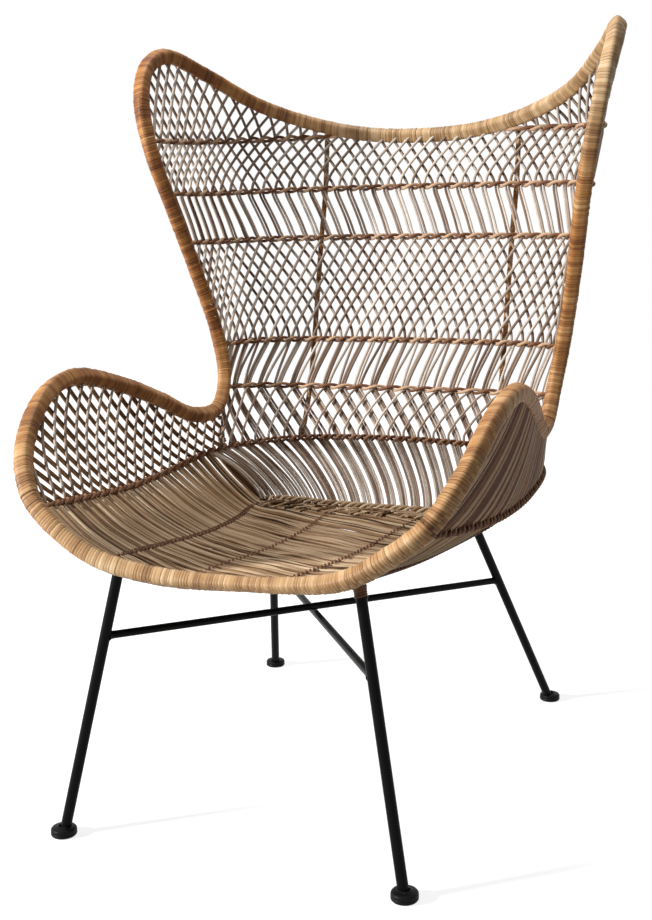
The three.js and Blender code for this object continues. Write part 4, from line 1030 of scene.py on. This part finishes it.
rib_points = []
for number in (6, 5, 4, 3, 2, 1):
    samples = np.linspace(0, reach[number], RIB_SAMPLES)
    spot = samples[np.argmax(on(rows[number], samples)[:, 0] >= RIB_OFFSET_X)]
    outward = -unit(np.cross(ahead(rows[number], spot), UP))
    rib_points.append(on(rows[number], spot) + outward * (IN_OUT + WEAVER / 2 + RIB_RADIUS))
rib_line = smooth_line(rib_points)
for side_name, rib in (("right", measured(rib_line)), ("left", measured(mirrored(rib_line)))):
    start = rib[0][0]
    rib_strips = int(-2 * start / PEEL_STRIP)
    wrap = wound(lambda s: on(rib, s + start), lambda s: ahead(rib, s + start), sideways, RIB_RADIUS,
                 PEEL_STRIP, 0, rib_strips - 2, RIB_SIDES, chance.normal(0, RIB_LIFT, rib_strips),
                 chance.uniform(-RIB_SLIP, RIB_SLIP, rib_strips))
    piece(f"peel_rib_{side_name}", peel, "peel", [f"back_rib_{side_name}"], wrap)

# Steel base
LEG = 14.0
LEG_START, LEG_OVER = 6, 2
STRETCHER = 10.3
STRETCHER_PLAY = 0.3
STRETCHER_FRONT, STRETCHER_REAR = 262, 235
STRETCHER_LIFT = STRETCHER / 2 + STRETCHER_PLAY
STRETCHER_INSET = LEG * 0.36
WELD_BEAD, WELD_REACH = 2.4, 2.2
FRONT_FOOT, REAR_FOOT = (235, -384), (259, 337)
FRONT_TOP, REAR_TOP = (163, -342), (175, 147)
ROD_SIDES = 24
ROD_ENDS = np.array((0, 0.5, 1, 1.8, 2.8, 4.2, 6, 9))
ROD_NORMAL = (0.3, 1.0, 0.2)


def rod(start, end, width, flare=0.0):
    """A straight round rod; its two ends may flare by a weld bead that falls off within a few millimetres."""
    length = np.linalg.norm(np.subtract(end, start))
    near = ROD_ENDS / length
    t = np.concatenate([near, [0.5], 1 - near[::-1]])
    path = np.asarray(start, float) + np.subtract(end, start) * t[:, None]
    widths = width + 2 * flare * np.exp(-np.minimum(t, 1 - t) * length / WELD_REACH)
    return open_bars(path[None], np.broadcast_to(ROD_NORMAL, path[None].shape), widths[None], ROD_SIDES)


# Foot: radius and height of a turned disc with a groove round it
FOOT_PROFILE = np.array([
    (0, 0), (13, 0), (15.5, 0.6), (16.8, 2.2), (17, 4.6), (16.1, 5.4), (16.1, 6.2), (17, 7),
    (16.6, 9.6), (15, 11.4), (12.5, 12), (9, 12.2), (8.2, 13.2), (6.6, 13.6),
])
FOOT_SIDES = 36


def turned(profile, sides):
    """A profile of radii and heights turned about the upright axis."""
    angle = np.linspace(0, 2 * np.pi, sides, endpoint=False)
    radius, height = profile[:, :1], np.broadcast_to(profile[:, 1:], (len(profile), sides))
    points = np.stack([radius * np.cos(angle), radius * np.sin(angle), height], -1)
    return points.reshape(-1, 3), grid_faces(joined(numbered(points), 1))


def leg_line(ground, climb):
    """Points of a leg at heights in millimetres: ground + height * climb."""
    return lambda height: ground + np.asarray(height, float)[..., None] * climb


legs = {}
foot_points, foot_faces = turned(FOOT_PROFILE, FOOT_SIDES)
for corner, way, foot, top in (
    ("front_left", -1, FRONT_FOOT, FRONT_TOP), ("front_right", 1, FRONT_FOOT, FRONT_TOP),
    ("rear_left", -1, REAR_FOOT, REAR_TOP), ("rear_right", 1, REAR_FOOT, REAR_TOP),
):
    leg_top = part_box(f"leg_{corner}")[1][2] / MM
    ground = np.array((way * foot[0], foot[1], 0.0))
    climb = (np.array((way * top[0], top[1], leg_top)) - ground) / leg_top
    legs[corner] = leg_line(ground, climb)
    piece(f"steel_leg_{corner}", steel, "steel", [f"leg_{corner}"],
          rod(legs[corner](LEG_START), legs[corner](leg_top + LEG_OVER), LEG))
    piece(f"foot_{corner}_disc", rubber, "rubber", [f"foot_{corner}"],
          {"points": foot_points + ground, "faces": [foot_faces]})

for name, first, last, lift in (
    ("lower", "front_right", "rear_left", -STRETCHER_LIFT),
    ("upper", "front_left", "rear_right", STRETCHER_LIFT),
):
    start, end = legs[first](STRETCHER_FRONT + lift), legs[last](STRETCHER_REAR + lift)
    inset = unit(end - start) * STRETCHER_INSET
    piece(f"steel_stretcher_{name}", steel, "steel", [f"stretcher_{name}"],
          rod(start + inset, end - inset, STRETCHER, WELD_BEAD))

# Front legs are bound to the shell with peel
BINDING_STRIP, BINDING_THICKNESS, BINDING_LIFT = 3.2, 1.6, 0.2
BINDING_SIDES = 20
for side_name in ("left", "right"):
    low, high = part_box(f"leg_binding_front_{side_name}")
    leg = legs[f"front_{side_name}"]
    base = low[2] / MM
    upwards = unit(leg(1) - leg(0))
    strips = int((high[2] - low[2]) / MM / BINDING_STRIP)
    wrap = wound(lambda s: leg(base + s), lambda s: np.broadcast_to(upwards, s.shape + (3,)), sideways,
                 LEG / 2 + BINDING_THICKNESS, BINDING_STRIP, 0, strips, BINDING_SIDES,
                 chance.normal(0, BINDING_LIFT, strips + 1), np.zeros(1))
    piece(f"peel_binding_{side_name}", dark_peel, "peel", [f"leg_binding_front_{side_name}"], wrap)

# Steel hoop under the seat: a rounded trapezoid that follows the floor, with an arm to each front leg
HOOP = 10.0
HOOP_FRONT, HOOP_REAR = (118.0, -258.0), (183.8, 155.8)
HOOP_CORNER = 30.0
HOOP_DROP = 12.8
HOOP_STEPS, HOOP_BEND_STEPS = 240, 13
HOOP_ARM = 7.0
HOOP_ARM_X, HOOP_ARM_Y = 109.2, -249.2
HOOP_ARM_DROP = 5
corners = np.array([HOOP_FRONT, HOOP_REAR, (-HOOP_REAR[0], HOOP_REAR[1]), (-HOOP_FRONT[0], HOOP_FRONT[1])])
before, after = unit(np.roll(corners, 1, 0) - corners), unit(np.roll(corners, -1, 0) - corners)
bend = np.linspace(0, 1, HOOP_BEND_STEPS)[:, None, None]
rounded = corners + HOOP_CORNER * ((1 - bend) ** 2 * before + bend ** 2 * after)
rounded = rounded.transpose(1, 0, 2).reshape(-1, 2)
loop = np.concatenate([rounded, rounded[:1]])
loop_run = run_along(loop)
loop_s = np.linspace(0, loop_run[-1], HOOP_STEPS, endpoint=False)
hoop_x, hoop_y = (np.interp(loop_s, loop_run, loop[:, k]) for k in (0, 1))
hoop_path = floor_at(hoop_x, hoop_y, -HOOP_DROP)
hoop_arms = []
front_leg_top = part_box("leg_front_left")[1][2] / MM
for side_name, way in (("left", -1), ("right", 1)):
    away = np.linalg.norm(hoop_path[:, :2] - (way * HOOP_ARM_X, HOOP_ARM_Y), axis=1)
    arm_end = legs[f"front_{side_name}"](front_leg_top - HOOP_ARM_DROP)
    hoop_arms.append(rod(hoop_path[np.argmin(away)], arm_end, HOOP_ARM))
piece("steel_seat_hoop", steel, "steel", ["seat_hoop"],
      closed_bar(hoop_path, np.broadcast_to(UP, hoop_path.shape), HOOP, sides=16), *hoop_arms)


# Floor, light and camera
def seen_rays(tree):
    """One for what the camera sees, straight, mirrored or through clear things, and zero for other light."""
    rays = add_node(tree, "ShaderNodeLightPath").outputs
    seen = rays["Is Camera Ray"]
    for kind in ("Is Glossy Ray", "Is Transmission Ray"):
        seen = add_node(tree, MATH, [(0, seen), (1, rays[kind])], operation="MAXIMUM").outputs[0]
    return seen


# Floor: white to the eye, a little less near the chair, and grey to the light, so that the shadow stays
FLOOR_HALF = 6
FLOOR_NEAR, FLOOR_FAR = 0.5, 1.6
FLOOR_NEAR_GLOW, FLOOR_FAR_GLOW = 0.82, 1.0
FLOOR_GREY = 0.45
floor_mesh = bpy.data.meshes.new("floor")
floor_corners = [(x * FLOOR_HALF, y * FLOOR_HALF, 0) for x, y in ((-1, -1), (1, -1), (1, 1), (-1, 1))]
floor_mesh.from_pydata(floor_corners, [], [(0, 1, 2, 3)])
floor = bpy.data.objects.new("floor", floor_mesh)
bpy.context.scene.collection.objects.link(floor)
floor_paint = bpy.data.materials.new("white studio floor")
floor_paint.use_nodes = True
floor_tree = floor_paint.node_tree
floor_tree.nodes.clear()
floor_place = add_node(floor_tree, "ShaderNodeTexCoord").outputs["Object"]
far = add_node(floor_tree, "ShaderNodeVectorMath", [(0, floor_place)], operation="LENGTH").outputs["Value"]
paleness = add_node(floor_tree, RANGE, [
    ("Value", far), ("From Min", FLOOR_NEAR), ("From Max", FLOOR_FAR),
    ("To Min", FLOOR_NEAR_GLOW), ("To Max", FLOOR_FAR_GLOW)]).outputs[0]
glow = add_node(floor_tree, MATH, [(0, seen_rays(floor_tree)), (1, paleness)], operation="MULTIPLY")
white = add_node(floor_tree, "ShaderNodeEmission", [("Strength", glow.outputs[0])])
matte = add_node(floor_tree, "ShaderNodeBsdfDiffuse", [("Color", (FLOOR_GREY, FLOOR_GREY, FLOOR_GREY, 1.0))])
both = add_node(floor_tree, "ShaderNodeAddShader", [(0, white.outputs[0]), (1, matte.outputs[0])])
add_node(floor_tree, "ShaderNodeOutputMaterial", [("Surface", both.outputs[0])])
floor_mesh.materials.append(floor_paint)

# Air: white to the eye and dim to the light
AIR_LIGHT, AIR_SEEN = 0.14, 1.0
world = bpy.data.worlds.new("studio")
bpy.context.scene.world = world
world.use_nodes = True
sky = world.node_tree
sky.nodes.clear()
level = add_node(sky, RANGE, [("Value", seen_rays(sky)), ("To Min", AIR_LIGHT), ("To Max", AIR_SEEN)])
air = add_node(sky, "ShaderNodeBackground", [("Color", (1.0, 1.0, 1.0, 1.0)), ("Strength", level.outputs[0])])
add_node(sky, "ShaderNodeOutputWorld", [("Surface", air.outputs[0])])


def lamp(name, place, target, size, power):
    """A soft square lamp that looks at a point."""
    light = bpy.data.lights.new(name, "AREA")
    light.size = size
    light.energy = power
    obj = bpy.data.objects.new(name, light)
    bpy.context.scene.collection.objects.link(obj)
    obj.location = place
    away = np.subtract(place, target)
    obj.rotation_euler = (math.atan2(math.hypot(away[0], away[1]), away[2]), 0, math.atan2(away[0], -away[1]))


# A small key lamp from the left front, and a broad lamp overhead
lamp("key", place=(-2.6, -2.4, 1.4), target=(0, 0, 0.6), size=0.3, power=190)
lamp("top", place=(-0.35, -0.1, 3.3), target=(0, 0, 0.5), size=0.8, power=54)

CAMERA_PLACE = (0.642, -1.624, 0.729)
CAMERA_TILT, CAMERA_TURN = math.radians(80.41), math.radians(20.51)
camera_data = bpy.data.cameras.new("camera")
camera_data.sensor_width = 36
camera_data.lens = 46.83
camera_data.shift_x = -0.0362
camera_data.shift_y = 0.0142
camera = bpy.data.objects.new("camera", camera_data)
bpy.context.scene.collection.objects.link(camera)
camera.location = CAMERA_PLACE
camera.rotation_euler = (CAMERA_TILT, 0, CAMERA_TURN)
bpy.context.scene.camera = camera
bpy.context.scene.view_settings.view_transform = "Standard"
